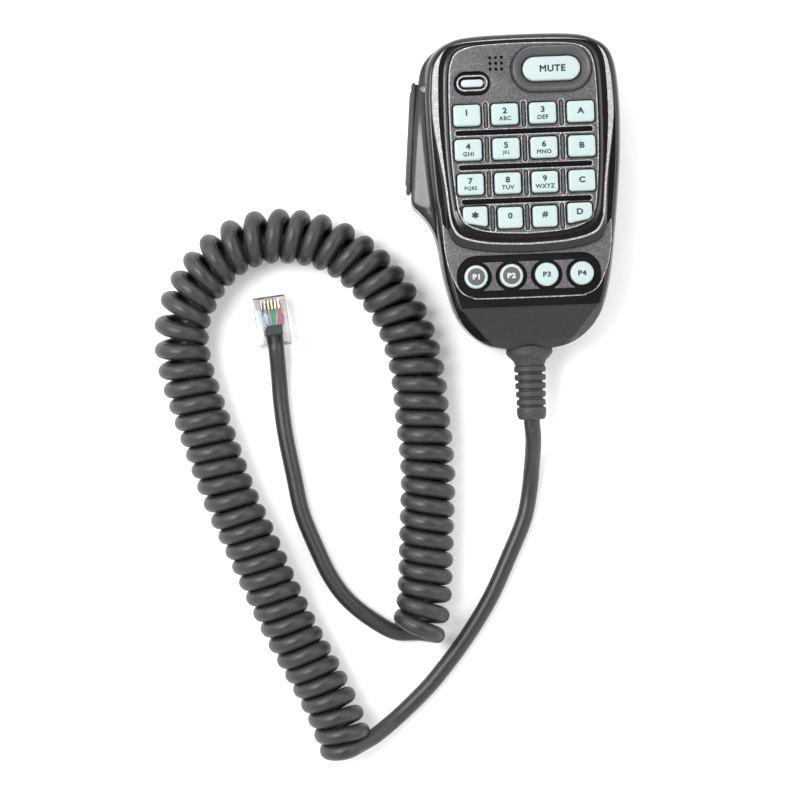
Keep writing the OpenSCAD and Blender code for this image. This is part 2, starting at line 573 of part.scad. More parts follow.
// Cord, sleeve and plug
sleeve_len = 20.4;
sleeve_end = y_bot - sleeve_len;
sleeve_ribs = 5;
sleeve_neck_r = 4;
sleeve_flange_r = 5;
sleeve_flange_y = y_bot + wall + 1.4;
module cord_exit() translate([0, 0, split_z]) {
    along_y(y_bot - 3, y_bot + 6, sleeve_neck_r + 0.1);
    along_y(sleeve_flange_y - 0.15, sleeve_flange_y + 1.55, sleeve_flange_r + 0.15);
}
module strain_relief() color([0.07, 0.07, 0.07]) translate([0, 0, split_z]) difference() {
    union() {
        along_y(y_bot - 3, y_bot + 4.6, sleeve_neck_r);
        along_y(sleeve_flange_y, sleeve_flange_y + 1.4, sleeve_flange_r);
        translate([0, y_bot - 0.15, 0]) rotate([90, 0, 0]) rotate_extrude()
            polygon([[0, 0], [6.9, 0], [6.6, 1.2], [5.4, 2.4], [4.4, 3.2], [0, 3.2]]);
        along_y(sleeve_end, y_bot - 2, 3.6);
        for (i = [0:sleeve_ribs - 1]) let (y = y_bot - 5.4 - 2.5 * i)
            along_y(y - 0.65, y + 0.65, 4.65 - 0.1 * i);
        along_y(sleeve_end, sleeve_end + 3.2, 4);
    }
    along_y(sleeve_end - 1, y_bot + 10, cord_d / 2 + cord_fit);
}
cord_r = cord_d / 2;
curl_z = curl_d / 2 + 0.3;
lead_route = [[0, y_bot + 12, split_z], [0, y_bot - 10, split_z], [0, sleeve_end, split_z],
    [0.4, sleeve_end - 6, split_z - 2.6], [0, sleeve_end - 14, 4.6], [-1, -98, 2.6], [-3, -106, 2.6], [-8, -117, 2.6],
    [-14, -129, 2.6], [-22, -141, 2.6], [-31, -152, 2.6], [-37, -158, 2.6], [-44, -164, 3.6],
    [-50, -168, 7], [-55, -170, 11]];
curl_route = [[-58, -171], [-61, -161], [-66, -150], [-73, -136], [-79, -122], [-85, -107], [-90, -95],
    [-95, -79], [-99, -66], [-102, -54], [-102, -43], [-97, -32], [-89, -23.5], [-79, -19],
    [-68, -19], [-57, -22], [-48, -28.5], [-41, -37], [-36, -47], [-33, -60], [-32, -74], [-31, -90],
    [-32, -106], [-33, -121], [-34, -131], [-36, -138]];
tail_route = [[-34, -137, 3], [-36, -140, 2.6], [-42, -138, 2.6], [-49, -134, 2.6], [-56, -128, 2.6],
    [-61, -121, 2.6], [-65, -112, 2.6], [-69, -101, 2.6], [-71, -90, 2.6], [-73, -78, 2.6],
    [-74, -68, 2.6], [-74.3, -60, 3.4]];
plug_pos = [-74.7, -51.2, 2.6];
plug_turn = 6;
plug_dip = 8;
plug_cord_z = 3.1;
module in_plug() translate(plug_pos) rotate([0, 0, plug_turn]) rotate([-plug_dip, 0, 0]) children();
function plug_point(y, z) = let (c = y * cos(plug_dip) + z * sin(plug_dip))
    plug_pos + [-c * sin(plug_turn), c * cos(plug_turn), z * cos(plug_dip) - y * sin(plug_dip)];
module cord_lead() color([0.23, 0.23, 0.24]) swept(smooth_path(lead_route, 2), cord_r, 10);
module cord_curl() color([0.23, 0.23, 0.24])
    swept(smooth_path([for (p = curl_route) [p[0], p[1], curl_z]], 1), curl_d / 2, 12);
module cord_tail() color([0.23, 0.23, 0.24]) swept(concat(smooth_path(tail_route, 2),
    [plug_point(-1.5, plug_cord_z), plug_point(5, plug_cord_z)]), cord_r, 10);

contacts = [for (i = [0:5]) (i - 2.5) * contact_pitch];
wire_r = 0.42;
wire_z = 2.5;
bead_y = plug_l - 0.9;
bead_r = 0.45;
module plug_body() color([0.85, 0.88, 0.9, 0.5]) in_plug() difference() {
    union() {
        translate([-plug_w / 2, 0, 0]) cube([plug_w, plug_l - 5, plug_t]);
        translate([-plug_w / 2, plug_l - 5.1, 0]) cube([plug_w, 5.1, plug_t - 0.7]);
    }
    translate([0, 0, plug_cord_z]) along_y(-1, 6, cord_r + cord_fit);
    translate([-3.4, 5.8, wire_z - 0.9]) cube([6.8, plug_l - 7.2, 1.7]);
    translate([-2.9, 2.4, plug_cord_z]) cube([5.8, 3, plug_t]);
    for (x = contacts) translate([x - 0.24, plug_l - 4.2, wire_z]) cube([0.48, 3.2, plug_t]);
    translate([-plug_w, bead_y, -0.1]) rotate([0, 90, 0]) cylinder(h = 2 * plug_w, r = bead_r + 0.06);
    translate([-4, bead_y - 1.3, -1]) cube([8, 1.4, 1.35]);
}
module plug_latch() color([0.85, 0.88, 0.9, 0.5]) in_plug() union() {
    translate([-1.6, bead_y, -0.1]) rotate([0, 90, 0]) cylinder(h = 3.2, r = bead_r);
    translate([0, bead_y, -0.1]) rotate([latch_rest, 0, 0]) {
        for (s = latch_steps) translate([-s[0] / 2, -s[2], -0.55]) cube([s[0], s[2] - s[1], 0.53]);
    }
}
latch_rest = 7;
latch_steps = [[3.2, 0, 4.6], [6, 4.4, 7.4], [3.2, 7.2, 12.6]];
module plug_contacts() color([0.85, 0.68, 0.3]) in_plug() for (x = contacts)
    translate([x - 0.18, plug_l - 4, wire_z + wire_r + 0.05]) cube([0.36, 2.8, plug_t - wire_z - wire_r - 1.1]);
module plug_wires() color([0.2, 0.45, 0.75]) in_plug() for (x = contacts)
    translate([x, 0, wire_z]) along_y(6, plug_l - 1.6, wire_r);
module plug_wedge() color([0.12, 0.12, 0.13]) in_plug()
    translate([-2.8, 2.5, plug_cord_z + cord_r + 0.05]) cube([5.6, 2.8, plug_t - plug_cord_z - cord_r - 0.25]);

front_case();
rear_case();
keypad_panel();
p_key_panel();
mute_bezel();
status_bezel();
status_lens();
for (r = [0:3], c = [0:3]) keypad_key(r, c);
key_mute();
p_key(0);  // key_p1
p_key(1);  // key_p2
p_key(2);  // key_p3
p_key(3);  // key_p4
ptt_lever();
ptt_grip();
ptt_pin();
ptt_spring();
ptt_switch();
ptt_plunger();
keypad_mat();
main_board();
dome_switches();
board_screws();
mic_capsule();
mic_boot();
mic_felt();
status_led();
backlight_leds();
controller_chip();
cord_header();
cord_clamp();
case_screws();
hang_stud();
stud_screw();
strain_relief();
cord_lead();
cord_curl();
cord_tail();
plug_body();
plug_latch();
plug_contacts();
plug_wires();
plug_wedge();
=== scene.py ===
"""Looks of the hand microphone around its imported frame. Shapes are worked out in millimetres, meshes are in metres."""
import json
import math

import bpy
import numpy as np
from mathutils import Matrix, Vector
from mathutils.geometry import delaunay_2d_cdt, tessellate_polygon


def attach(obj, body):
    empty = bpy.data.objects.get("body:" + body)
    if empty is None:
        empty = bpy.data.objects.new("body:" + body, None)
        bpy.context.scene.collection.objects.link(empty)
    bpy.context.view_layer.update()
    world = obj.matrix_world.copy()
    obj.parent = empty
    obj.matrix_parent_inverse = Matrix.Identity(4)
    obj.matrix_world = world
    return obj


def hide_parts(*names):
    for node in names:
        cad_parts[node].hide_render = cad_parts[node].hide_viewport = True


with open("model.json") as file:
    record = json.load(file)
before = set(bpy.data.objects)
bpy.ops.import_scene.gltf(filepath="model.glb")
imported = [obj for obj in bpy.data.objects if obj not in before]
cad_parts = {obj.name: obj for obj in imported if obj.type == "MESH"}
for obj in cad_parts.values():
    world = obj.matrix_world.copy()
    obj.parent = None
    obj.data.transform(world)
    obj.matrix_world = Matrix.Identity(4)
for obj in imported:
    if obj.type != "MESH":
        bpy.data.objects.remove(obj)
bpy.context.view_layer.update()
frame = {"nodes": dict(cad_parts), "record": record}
MM = 0.001

# ---------------------------------------------------------------- sizes, in millimetres
Y_TOP, Y_BOT, HALF_W = 36.4, -55.4, 28.6
PANEL_HW, ISLAND_HW = 21.2, 24.2
PANEL_TOP_Y, PANEL_BOT_Y = 32.2, -22.3
ROW_1_Y, ROW_PITCH, COL_PITCH = 11.9, 9.8667, 10.8333
ROW_SQUEEZE = (1.0, 1.0, 0.98, 0.92)
ROW_KEY_W = (7.7, 7.7, 7.5, 7.0)
KEY_H, KEY_R = 6.0, 0.9
PANEL_Z, FACE_Z, BACK_Z = 29.0, 25.8, 7.0
P_Z, P_SEAT_Z, P_Y, P_PITCH, P_R = 25.9, 25.1, -34.1, 10.15, 3.35
MUTE_AT, MUTE_W, MUTE_H = (8.4, 24.5), 16.5, 6.9
STATUS_AT, MIC_AT = (-14.4, 21.1), (-7.4, 26.6)
CHIN_Y, CHIN_SLOPE = Y_BOT + 12.4, math.tan(math.radians(29))
PALM_Y, PALM_A, PALM_B = -31.4, 20.5, 18.0
SCREWS = ((19, 29), (-19, 29), (14.5, -47), (-14.5, -47))
GRIP_TOP, GRIP_L, GRIP_Z0, GRIP_Z1, LEAN = (-32.0, 23.6), 32.0, 9.2, 18.8, math.radians(5)
CORD_R, CURL_R, CURL_Z = 2.4, 5.78, 8.5


# ---------------------------------------------------------------- meshes
def make(name, parts, materials, body, node=None, sharp=32.0, uv=None):
    """One piece from parts of (points in mm, faces, material index), welded where points meet, smooth below an edge angle."""
    points = np.concatenate([p for p, f, m in parts])
    start, faces, slots = 0, [], []
    for p, f, m in parts:
        faces += [tuple(int(i) + start for i in q) for q in f]
        slots += [m] * len(f)
        start += len(p)
    mesh = bpy.data.meshes.new(name)
    mesh.from_pydata((points * MM).tolist(), [], faces)
    for m in materials:
        mesh.materials.append(m)
    mesh.polygons.foreach_set("material_index", slots)
    if uv is not None:
        layer = mesh.uv_layers.new(name="lay")
        loops = np.empty(len(mesh.loops), np.int32)
        mesh.loops.foreach_get("vertex_index", loops)
        layer.data.foreach_set("uv", uv[loops].ravel().astype(np.float32))
    weld(mesh)
    mesh.shade_smooth()
    mesh.set_sharp_from_angle(angle=math.radians(sharp))
    piece = bpy.data.objects.new(name, mesh)
    bpy.context.scene.collection.objects.link(piece)
    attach(piece, body)
    for n in node or []:
        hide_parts(n)
    return piece


def weld(mesh):
    """Joins points nearer than two microns and drops faces that close up to nothing."""
    import bmesh

    bm = bmesh.new()
    bm.from_mesh(mesh)
    bmesh.ops.remove_doubles(bm, verts=bm.verts, dist=2e-6)
    bmesh.ops.dissolve_degenerate(bm, edges=bm.edges, dist=1e-7)
    bm.to_mesh(mesh)
    bm.free()


def skin(rings, closed=True, flip=False, mat=0):
    """Quads between neighbouring points of a grid: first parameter from ring to ring, second along each ring."""
    p = np.asarray(rings, float)
    nu, nv = p.shape[:2]
    u, v = np.meshgrid(np.arange(nu - 1), np.arange(nv if closed else nv - 1), indexing="ij")
    a, b = u * nv + v, u * nv + (v + 1) % nv
    f = np.stack([a, b, b + nv, a + nv], -1).reshape(-1, 4)
    return p.reshape(-1, 3), f[:, ::-1] if flip else f, mat


def lid(loops, up=True, mat=0):
    """Flat triangles inside the first closed line and outside the others."""
    tris = tessellate_polygon([[Vector(q) for q in loop] for loop in loops])
    p = np.concatenate([np.asarray(loop, float) for loop in loops])
    t = np.array(tris, int).reshape(-1, 3)
    a, b, c = p[t[:, 0]], p[t[:, 1]], p[t[:, 2]]
    turn = np.cross(b - a, c - a)[:, 2] > 0
    t[turn != up] = t[turn != up][:, ::-1]
    return p, t, mat


def level(loop, z):
    """A flat line lifted to height z, one height or one per point."""
    loop = np.asarray(loop, float)
    return np.column_stack([loop[:, :2], np.broadcast_to(z, len(loop))])


def rounded(corners, radii, grow=0.0, steps=7):
    """Convex outline whose corners are arcs, moved out by grow: arc centres stay, arc radii change."""
    c = np.asarray(corners, float)
    r = np.maximum(np.broadcast_to(np.asarray(radii, float), len(c)), 0.04 - grow)
    back = c - np.roll(c, 1, 0)
    ahead = np.roll(c, -1, 0) - c
    back /= np.linalg.norm(back, axis=1)[:, None]
    ahead /= np.linalg.norm(ahead, axis=1)[:, None]
    n0, n1 = np.column_stack([back[:, 1], -back[:, 0]]), np.column_stack([ahead[:, 1], -ahead[:, 0]])
    centre = c - (n0 + n1) * (r / (1 + (n0 * n1).sum(1)))[:, None]
    a0 = np.arctan2(n0[:, 1], n0[:, 0])
    turn = (np.arctan2(n1[:, 1], n1[:, 0]) - a0) % (2 * np.pi)
    a = a0[:, None] + turn[:, None] * np.linspace(0, 1, steps)
    arc = np.stack([np.cos(a), np.sin(a)], -1) * (r + grow)[:, None, None]
    return (centre[:, None] + arc).reshape(-1, 2)


def box_loop(at, w, h, r, grow=0.0, steps=7):
    """Rounded rectangle about a point."""
    x, y = at
    corners = [(x - w / 2, y - h / 2), (x + w / 2, y - h / 2), (x + w / 2, y + h / 2), (x - w / 2, y + h / 2)]
    return rounded(corners, r, grow, steps)


def pill(at, w, h, grow=0.0):
    """Straight-sided oval about a point."""
    return box_loop(at, w, h, min(w, h) / 2 - 0.01, grow, 12)


def ring_loop(at, r, grow=0.0, n=32):
    """Circle about a point."""
    a = np.arange(n) * 2 * np.pi / n
    return np.column_stack([at[0] + (r + grow) * np.cos(a), at[1] + (r + grow) * np.sin(a)])


def walls(loop, steps, flip=False, mat=0):
    """Side of a plate or a well: the outline is carried through (grow, height) steps."""
    return skin([level(loop(g), z) for g, z in steps], flip=flip, mat=mat)


def catmull(p, n, closed=False):
    """Catmull-Rom curve through the points, n places on each span."""
    p = np.asarray(p, float)
    if closed:
        q = np.concatenate([p[-1:], p, p[:2]])
    else:
        q = np.concatenate([2 * p[:1] - p[1:2], p, 2 * p[-1:] - p[-2:-1]])
    a, b, c, d = (q[i:len(q) - 3 + i][:, None] for i in range(4))
    t = (np.arange(n) / n)[None, :, None]
    s = 0.5 * (2 * b + (c - a) * t + (2 * a - 5 * b + 4 * c - d) * t**2 + (3 * b - a - 3 * c + d) * t**3)
    s = s.reshape(-1, p.shape[1])
    return s if closed else np.concatenate([s, p[-1:]])


def even(p, step):
    """The same line with its points a nearly even step apart."""
    d = np.concatenate([[0], np.cumsum(np.linalg.norm(np.diff(p, axis=0), axis=1))])
    s = np.linspace(0, d[-1], int(round(d[-1] / step)) + 1)
    return np.column_stack([np.interp(s, d, p[:, k]) for k in range(p.shape[1])])


# ---------------------------------------------------------------- camera, floor and light
def studio():
    """Camera straight above, a near softbox over the left side, soft fill round it, and a white surround darker overhead."""
    cam = bpy.data.objects.new("camera", bpy.data.cameras.new("camera"))
    cam.location = (-0.03846, -0.06857, 0.620)
    cam.rotation_euler = (0, 0, math.radians(-2.2))
    cam.data.lens, cam.data.sensor_width = 93.0, 36.0
    cam.data.clip_start = 0.01
    bpy.context.scene.collection.objects.link(cam)
    bpy.context.scene.camera = cam
    bpy.context.scene.view_settings.view_transform = "Standard"
    world = bpy.data.worlds.new("studio")
    bpy.context.scene.world = world
    world.use_nodes = True
    tree = world.node_tree
    tree.nodes["Background"].inputs[0].default_value = (1, 1, 1, 1)
    axes = node(tree, "ShaderNodeSeparateXYZ", [(0, node(tree, "ShaderNodeTexCoord").outputs["Generated"])])
    hood = node(
        tree, "ShaderNodeMapRange",
        [("Value", axes.outputs["Z"]), ("From Min", 0.80), ("From Max", 0.94), ("To Min", 1.5), ("To Max", 0.2)],
    )
    tree.links.new(hood.outputs[0], tree.nodes["Background"].inputs[1])
    for name, place, size, power in (
        ("key softbox", (-0.33, 0.05, 0.62), 0.30, 3.5),
        ("left softbox", (-0.62, 0.20, 0.50), 0.55, 1.2),
        ("right softbox", (0.60, 0.10, 0.55), 0.45, 1.4),
        ("top strip", (-0.05, 0.62, 0.55), 0.40, 1.2),
    ):
        light = bpy.data.objects.new(name, bpy.data.lights.new(name, "AREA"))
        light.data.size, light.data.energy = size, power
        light.location = place
        light.rotation_euler = (Vector((-0.02, -0.04, 0)) - Vector(place)).to_track_quat("-Z", "Y").to_euler()
        bpy.context.scene.collection.objects.link(light)


# ---------------------------------------------------------------- finishes
def group(name, inputs, outputs):
    """An empty shared node group with named sockets."""
    tree = bpy.data.node_groups.new(name, "ShaderNodeTree")
    for n, kind, value in inputs:
        s = tree.interface.new_socket(n, in_out="INPUT", socket_type=kind)
        if value is not None:
            s.default_value = value
    for n, kind in outputs:
        tree.interface.new_socket(n, in_out="OUTPUT", socket_type=kind)
    return tree, tree.nodes.new("NodeGroupInput"), tree.nodes.new("NodeGroupOutput")


def node(tree, kind, links=(), **values):
    """Adds a node, sets its properties, and plugs in (socket, source) pairs or plain values."""
    n = tree.nodes.new(kind)
    for k, v in values.items():
        setattr(n, k, v)
    for socket, source in links:
        if hasattr(source, "links"):
            tree.links.new(source, n.inputs[socket])
        else:
            n.inputs[socket].default_value = source
    return n


def grain_group():
    """Moulded grain: fine cells over soft noise, out as a height, and as a mask of its high spots."""
    tree, i, o = group(
        "moulded grain",
        [("Vector", "NodeSocketVector", None), ("Scale", "NodeSocketFloat", 1500.0), ("Contrast",
                "NodeSocketFloat", 0.5)],
        [("Height", "NodeSocketFloat"), ("Mask", "NodeSocketFloat")],
    )
    cells = node(tree, "ShaderNodeTexVoronoi", [("Vector", i.outputs["Vector"]), ("Scale", i.outputs["Scale"])])
    noise = node(
        tree, "ShaderNodeTexNoise",
        [("Vector", i.outputs["Vector"]), ("Scale", i.outputs["Scale"]), ("Detail", 3.0), ("Roughness", 0.6)],
    )
    mix = node(tree, "ShaderNodeMath", [(0, cells.outputs["Distance"]), (1, noise.outputs["Fac"])],
            operation="MULTIPLY")
    ramp = node(
        tree, "ShaderNodeMapRange",
        [("Value", noise.outputs["Fac"]), ("From Min", 0.46), ("From Max", 0.66), ("To Min", 0.0), ("To Max",
                i.outputs["Contrast"])],
    )
    tree.links.new(mix.outputs[0], o.inputs["Height"])
    tree.links.new(ramp.outputs[0], o.inputs["Mask"])
    return tree


def handling_group():
    """Wear of use: cloudy fingerprints with thin drawn-out scratches over them, out as one mask."""
    tree, i, o = group(
        "handling marks",
        [("Vector", "NodeSocketVector", None), ("Scale", "NodeSocketFloat", 60.0), ("Scratches",
                "NodeSocketFloat", 0.3)],
        [("Mask", "NodeSocketFloat")],
    )
    cloud = node(
        tree, "ShaderNodeTexNoise",
        [("Vector", i.outputs["Vector"]), ("Scale", i.outputs["Scale"]), ("Detail", 5.0), ("Distortion", 0.6)],
    )
    turned = node(
        tree, "ShaderNodeMapping", [("Vector", i.outputs["Vector"]), ("Rotation", (0.2, 0.1, 0.6)), ("Scale", (40,
                900, 300))]
    )
    lines = node(tree, "ShaderNodeTexNoise", [("Vector", turned.outputs[0]), ("Scale", 1.0), ("Detail", 2.0)])
    thin = node(tree, "ShaderNodeMapRange", [("Value", lines.outputs["Fac"]), ("From Min", 0.62), ("From Max", 0.72)])
    some = node(tree, "ShaderNodeMath", [(0, thin.outputs[0]), (1, i.outputs["Scratches"])], operation="MULTIPLY")
    both = node(tree, "ShaderNodeMath", [(0, cloud.outputs["Fac"]), (1, some.outputs[0])], operation="ADD")
    both.use_clamp = True
    tree.links.new(both.outputs[0], o.inputs["Mask"])
    return tree


def finish(name, dark, light, rough, grain, bump, coords="Object", spread=0.5, scratch=0.3, **sockets):
    """A finish: two tones mixed by the grain, roughness between two values by handling, grain height as bump."""
    mat = bpy.data.materials.new(name)
    mat.use_nodes = True
    tree = mat.node_tree
    shader = tree.nodes["Principled BSDF"]
    where = tree.nodes.new("ShaderNodeTexCoord").outputs["UV" if coords == "UV" else "Object"]
    if coords == "UV":
        where = node(tree, "ShaderNodeMapping", [("Vector", where), ("Scale", (0.015, 1.0, 1.0))]).outputs[0]
    g = node(tree, "ShaderNodeGroup", node_tree=GRAIN)
    tree.links.new(where, g.inputs["Vector"])
    g.inputs["Scale"].default_value = grain
    g.inputs["Contrast"].default_value = spread
    h = node(tree, "ShaderNodeGroup", node_tree=HANDLING)
    tree.links.new(where, h.inputs["Vector"])
    h.inputs["Scratches"].default_value = scratch
    tone = node(tree, "ShaderNodeMix", [("Factor", g.outputs["Mask"])], data_type="RGBA")
    tone.inputs[6].default_value = (*dark, 1)
    tone.inputs[7].default_value = (*light, 1)
    tree.links.new(tone.outputs[2], shader.inputs["Base Color"])
    matt = node(
        tree, "ShaderNodeMapRange",
        [("Value", h.outputs["Mask"]), ("From Min", 0.3), ("From Max", 0.8), ("To Min", rough[0]), ("To Max",
                rough[1])],
    )
    tree.links.new(matt.outputs[0], shader.inputs["Roughness"])
    relief = node(tree, "ShaderNodeBump", [("Height", g.outputs["Height"]), ("Strength", bump), ("Distance", 0.0001)])
    tree.links.new(relief.outputs[0], shader.inputs["Normal"])
    for k, v in sockets.items():
        shader.inputs[k.replace("_", " ")].default_value = v
    return mat


GRAIN, HANDLING = grain_group(), handling_group()
M = {
    "case_black": finish("gloss black case", (0.004, 0.004, 0.0045), (0.008, 0.008, 0.009), (0.14, 0.26), 2600,
            0.05, Specular_IOR_Level=0.42),
    "chin_black": finish("satin black chin", (0.015, 0.0148, 0.015), (0.027, 0.0265, 0.027), (0.3, 0.42), 1800,
            0.15, Specular_IOR_Level=0.3),
    "shell_black": finish("satin black shell", (0.008, 0.008, 0.009), (0.018, 0.018, 0.019), (0.36, 0.5), 1900,
            0.25, Specular_IOR_Level=0.3),
    "panel_grey": finish("speckled grey panel", (0.060, 0.059, 0.061), (0.150, 0.149, 0.152), (0.36, 0.5), 2300,
            0.3, spread=0.7, Specular_IOR_Level=0.3),
    "ring_grey": finish("smooth grey ring", (0.045, 0.045, 0.046), (0.065, 0.065, 0.066), (0.26, 0.36), 1500,
            0.08, Specular_IOR_Level=0.5),
    # edge grey: a light grey with strong grain that paints a highlight on bevels, lips and ridges, where the light
    # would catch them
    "edge_grey": finish("painted highlight edge grey", (0.22, 0.22, 0.223), (0.60, 0.60, 0.605), (0.3, 0.45), 2300, 0.4,
            spread=0.9),
    "key_mint": finish("mint key", (0.335, 0.415, 0.41), (0.365, 0.445, 0.44), (0.34, 0.5), 2500, 0.08,
            scratch=0.15, Specular_IOR_Level=0.3),
    "key_grey": finish("dark grey key", (0.07, 0.07, 0.073), (0.10, 0.10, 0.105), (0.4, 0.55), 2200, 0.15,
            Specular_IOR_Level=0.3),
    "legend": finish("legend ink", (0.02, 0.022, 0.024), (0.05, 0.053, 0.055), (0.5, 0.65), 5000, 0.05,
            Specular_IOR_Level=0.2),
    "legend_white": finish("white legend ink", (0.42, 0.44, 0.44), (0.5, 0.51, 0.51), (0.5, 0.65), 5000, 0.05),
    "lens_white": finish("frosted lens", (0.37, 0.41, 0.47), (0.42, 0.46, 0.52), (0.3, 0.42), 1200, 0.1),
    "rubber_black": finish("moulded rubber", (0.026, 0.026, 0.026), (0.058, 0.058, 0.058), (0.5, 0.68), 1500,
            0.35, Specular_IOR_Level=0.4),
    "cord_black": finish("cord jacket", (0.014, 0.014, 0.0145), (0.026, 0.026, 0.027), (0.36, 0.5), 420, 0.18,
            coords="UV", Specular_IOR_Level=0.5),
    "steel": finish("bright steel", (0.48, 0.48, 0.50), (0.62, 0.62, 0.64), (0.22, 0.4), 900, 0.1, Metallic=1.0),
    "gold": finish("gilt contact", (0.80, 0.64, 0.36), (0.90, 0.75, 0.48), (0.15, 0.3), 900, 0.05, Metallic=1.0),
    "board_green": finish("board mask", (0.012, 0.09, 0.04), (0.02, 0.15, 0.07), (0.25, 0.4), 700, 0.1),
    "silicone_grey": finish("silicone mat", (0.42, 0.45, 0.46), (0.52, 0.55, 0.56), (0.5, 0.65), 900, 0.2),
    "chip_black": finish("black moulding", (0.012, 0.012, 0.013), (0.03, 0.03, 0.031), (0.4, 0.55), 1400, 0.25),
    "led_white": finish("cream moulding", (0.72, 0.70, 0.56), (0.84, 0.82, 0.68), (0.35, 0.5), 1200, 0.1),
    "felt_black": finish("felt", (0.015, 0.015, 0.015), (0.05, 0.05, 0.05), (0.8, 0.95), 2500, 0.9),
    "switch_red": finish("red moulding", (0.42, 0.02, 0.02), (0.55, 0.05, 0.04), (0.3, 0.45), 1200, 0.1),
    "wire_colours": finish("wire jacket", (0.03, 0.15, 0.42), (0.05, 0.22, 0.55), (0.35, 0.5), 1200, 0.1),
    "wire_green": finish("green wire jacket", (0.05, 0.42, 0.22), (0.08, 0.55, 0.3), (0.35, 0.5), 1200, 0.1),
    "wire_pink": finish("pink wire jacket", (0.75, 0.12, 0.2), (0.85, 0.2, 0.28), (0.35, 0.5), 1200, 0.1),
    "plug_clear": finish(
        "clear plug", (0.96, 0.975, 0.98), (0.985, 0.99, 1.0), (0.02,
                0.06), 900, 0.03, Transmission_Weight=1.0, IOR=1.38
    ),
    "floor": finish("white sweep", (0.95, 0.95, 0.95), (0.97, 0.97, 0.97), (0.6, 0.7), 40, 0.0, scratch=0.0),
}

studio()
sweep = bpy.data.meshes.new("sweep")
sweep.from_pydata([(-4, -4, 0), (4, -4, 0), (4, 4, 0), (-4, 4, 0)], [], [(0, 1, 2, 3)])
sweep.materials.append(M["floor"])
floor = bpy.data.objects.new("sweep", sweep)
bpy.context.scene.collection.objects.link(floor)

# ---------------------------------------------------------------- cord
LEAD = [(0, -48, 13), (0, -56, 13), (0, -65.4, 13), (0, -75.8, 13), (0.4, -81.8, 10.4), (0, -89.8, 4.6), (-1, -98,
        2.6),
        (-3, -106, 2.6), (-8, -117, 2.6), (-14, -129, 2.6), (-22, -141, 2.6), (-31, -152, 2.6), (-37, -158, 2.6),
        (-44, -164, 3.6), (-50, -168, 7), (-55, -170, 11)]
CURL = [(-58, -171), (-61, -161), (-66, -150), (-73, -136), (-79, -122), (-85, -107), (-90, -95), (-95, -79),
        (-99, -66),
        (-102, -54), (-102, -43), (-97, -32), (-89, -23.5), (-79, -19), (-68, -19), (-57, -22), (-48,
            -28.5), (-41, -37),
        (-36, -47), (-33, -60), (-32, -74), (-31, -90), (-32, -106), (-33, -121), (-34, -131), (-36, -138)]
TAIL = [(-42, -138, 2.6), (-49, -134, 2.6), (-56, -128, 2.6), (-61, -121, 2.6), (-65, -112, 2.6), (-69, -101, 2.6),
        (-71, -90, 2.6), (-73, -78, 2.6), (-74, -68, 2.6), (-74.3, -60, 3.4)]
PLUG_AT, PLUG_TURN, PLUG_DIP = np.array([-74.7, -51.2, 2.6]), math.radians(6), math.radians(8)


def in_plug(p):
    """Points of the plug's own frame tipped by its dip, turned by its turn and moved to its place."""
    p = np.asarray(p, float)
    x, y, z = p[..., 0], p[..., 1], p[..., 2]
    c, s = math.cos(PLUG_DIP), math.sin(PLUG_DIP)
    y, z = y * c + z * s, z * c - y * s
    c, s = math.cos(PLUG_TURN), math.sin(PLUG_TURN)
    return np.stack([x * c - y * s, x * s + y * c, z], -1) + PLUG_AT


def softened(p, passes):
    """Line whose inner points move to the mean of their neighbours, passes times."""
    p = p.copy()
    for _ in range(passes):
        p[1:-1] = 0.25 * p[:-2] + 0.5 * p[1:-1] + 0.25 * p[2:]
    return p


def curl_line():
    """Helix round the curl's middle line: angle grows with length over pitch, and pitch opens where the line bends."""
    mid = softened(even(catmull(CURL, 12), 0.5), 60)
    s = np.concatenate([[0], np.cumsum(np.linalg.norm(np.diff(mid, axis=0), axis=1))])
    t = np.gradient(mid, s, axis=0)
    t /= np.linalg.norm(t, axis=1)[:, None]
    bend = np.abs(np.gradient(np.unwrap(np.arctan2(t[:, 1], t[:, 0])), s))
    pitch = 4.95 / (1 - bend * CURL_R)
    phase = np.concatenate([[0], np.cumsum(np.diff(s) * (1 / pitch[1:] + 1 / pitch[:-1]) / 2)])
    turns = round(phase[-1] - 0.5) + 0.5
    phase *= turns / phase[-1]
    a = np.linspace(0, turns, int(turns * 40) + 1)
    line = np.column_stack([np.interp(a, phase, mid[:, 0]), np.interp(a, phase, mid[:, 1])])
    tx, ty = np.interp(a, phase, t[:, 0]), np.interp(a, phase, t[:, 1])
    w = np.column_stack([ty, -tx]) / np.hypot(tx, ty)[:, None]
    angle = 2 * np.pi * a + np.pi / 2
    xy = line + CURL_R * np.cos(angle)[:, None] * w
    return np.column_stack([xy, CURL_Z + CURL_R * np.sin(angle)]), turns


def cord_path():
    """Lead, helix and tail as one line with even steps, eased where they meet."""
    helix, turns = curl_line()
    lead = catmull(np.concatenate([np.array(LEAD, float), helix[:1], helix[8:9]]), 16)
    lead = lead[: -16]
    end = in_plug([(0, -1.5, 3.1), (0, 5, 3.1)])
    tail = catmull(np.concatenate([helix[-9:-8], helix[-1:], np.array(TAIL, float), end]), 16)
    tail = tail[16:]
    whole = np.concatenate([lead[:-1], helix, tail[1:]])
    line = even(whole, 1.2)
    eased = softened(line, 7)
    near = np.zeros(len(line))
    for p in (helix[0], helix[-1]):
        d = np.linalg.norm(line - p, axis=1)
        near = np.maximum(near, np.exp(-((d / 6.0) ** 2)) * (np.abs(np.arange(len(line)) - d.argmin()) < 24))
    return line + near[:, None] * (eased - line), turns


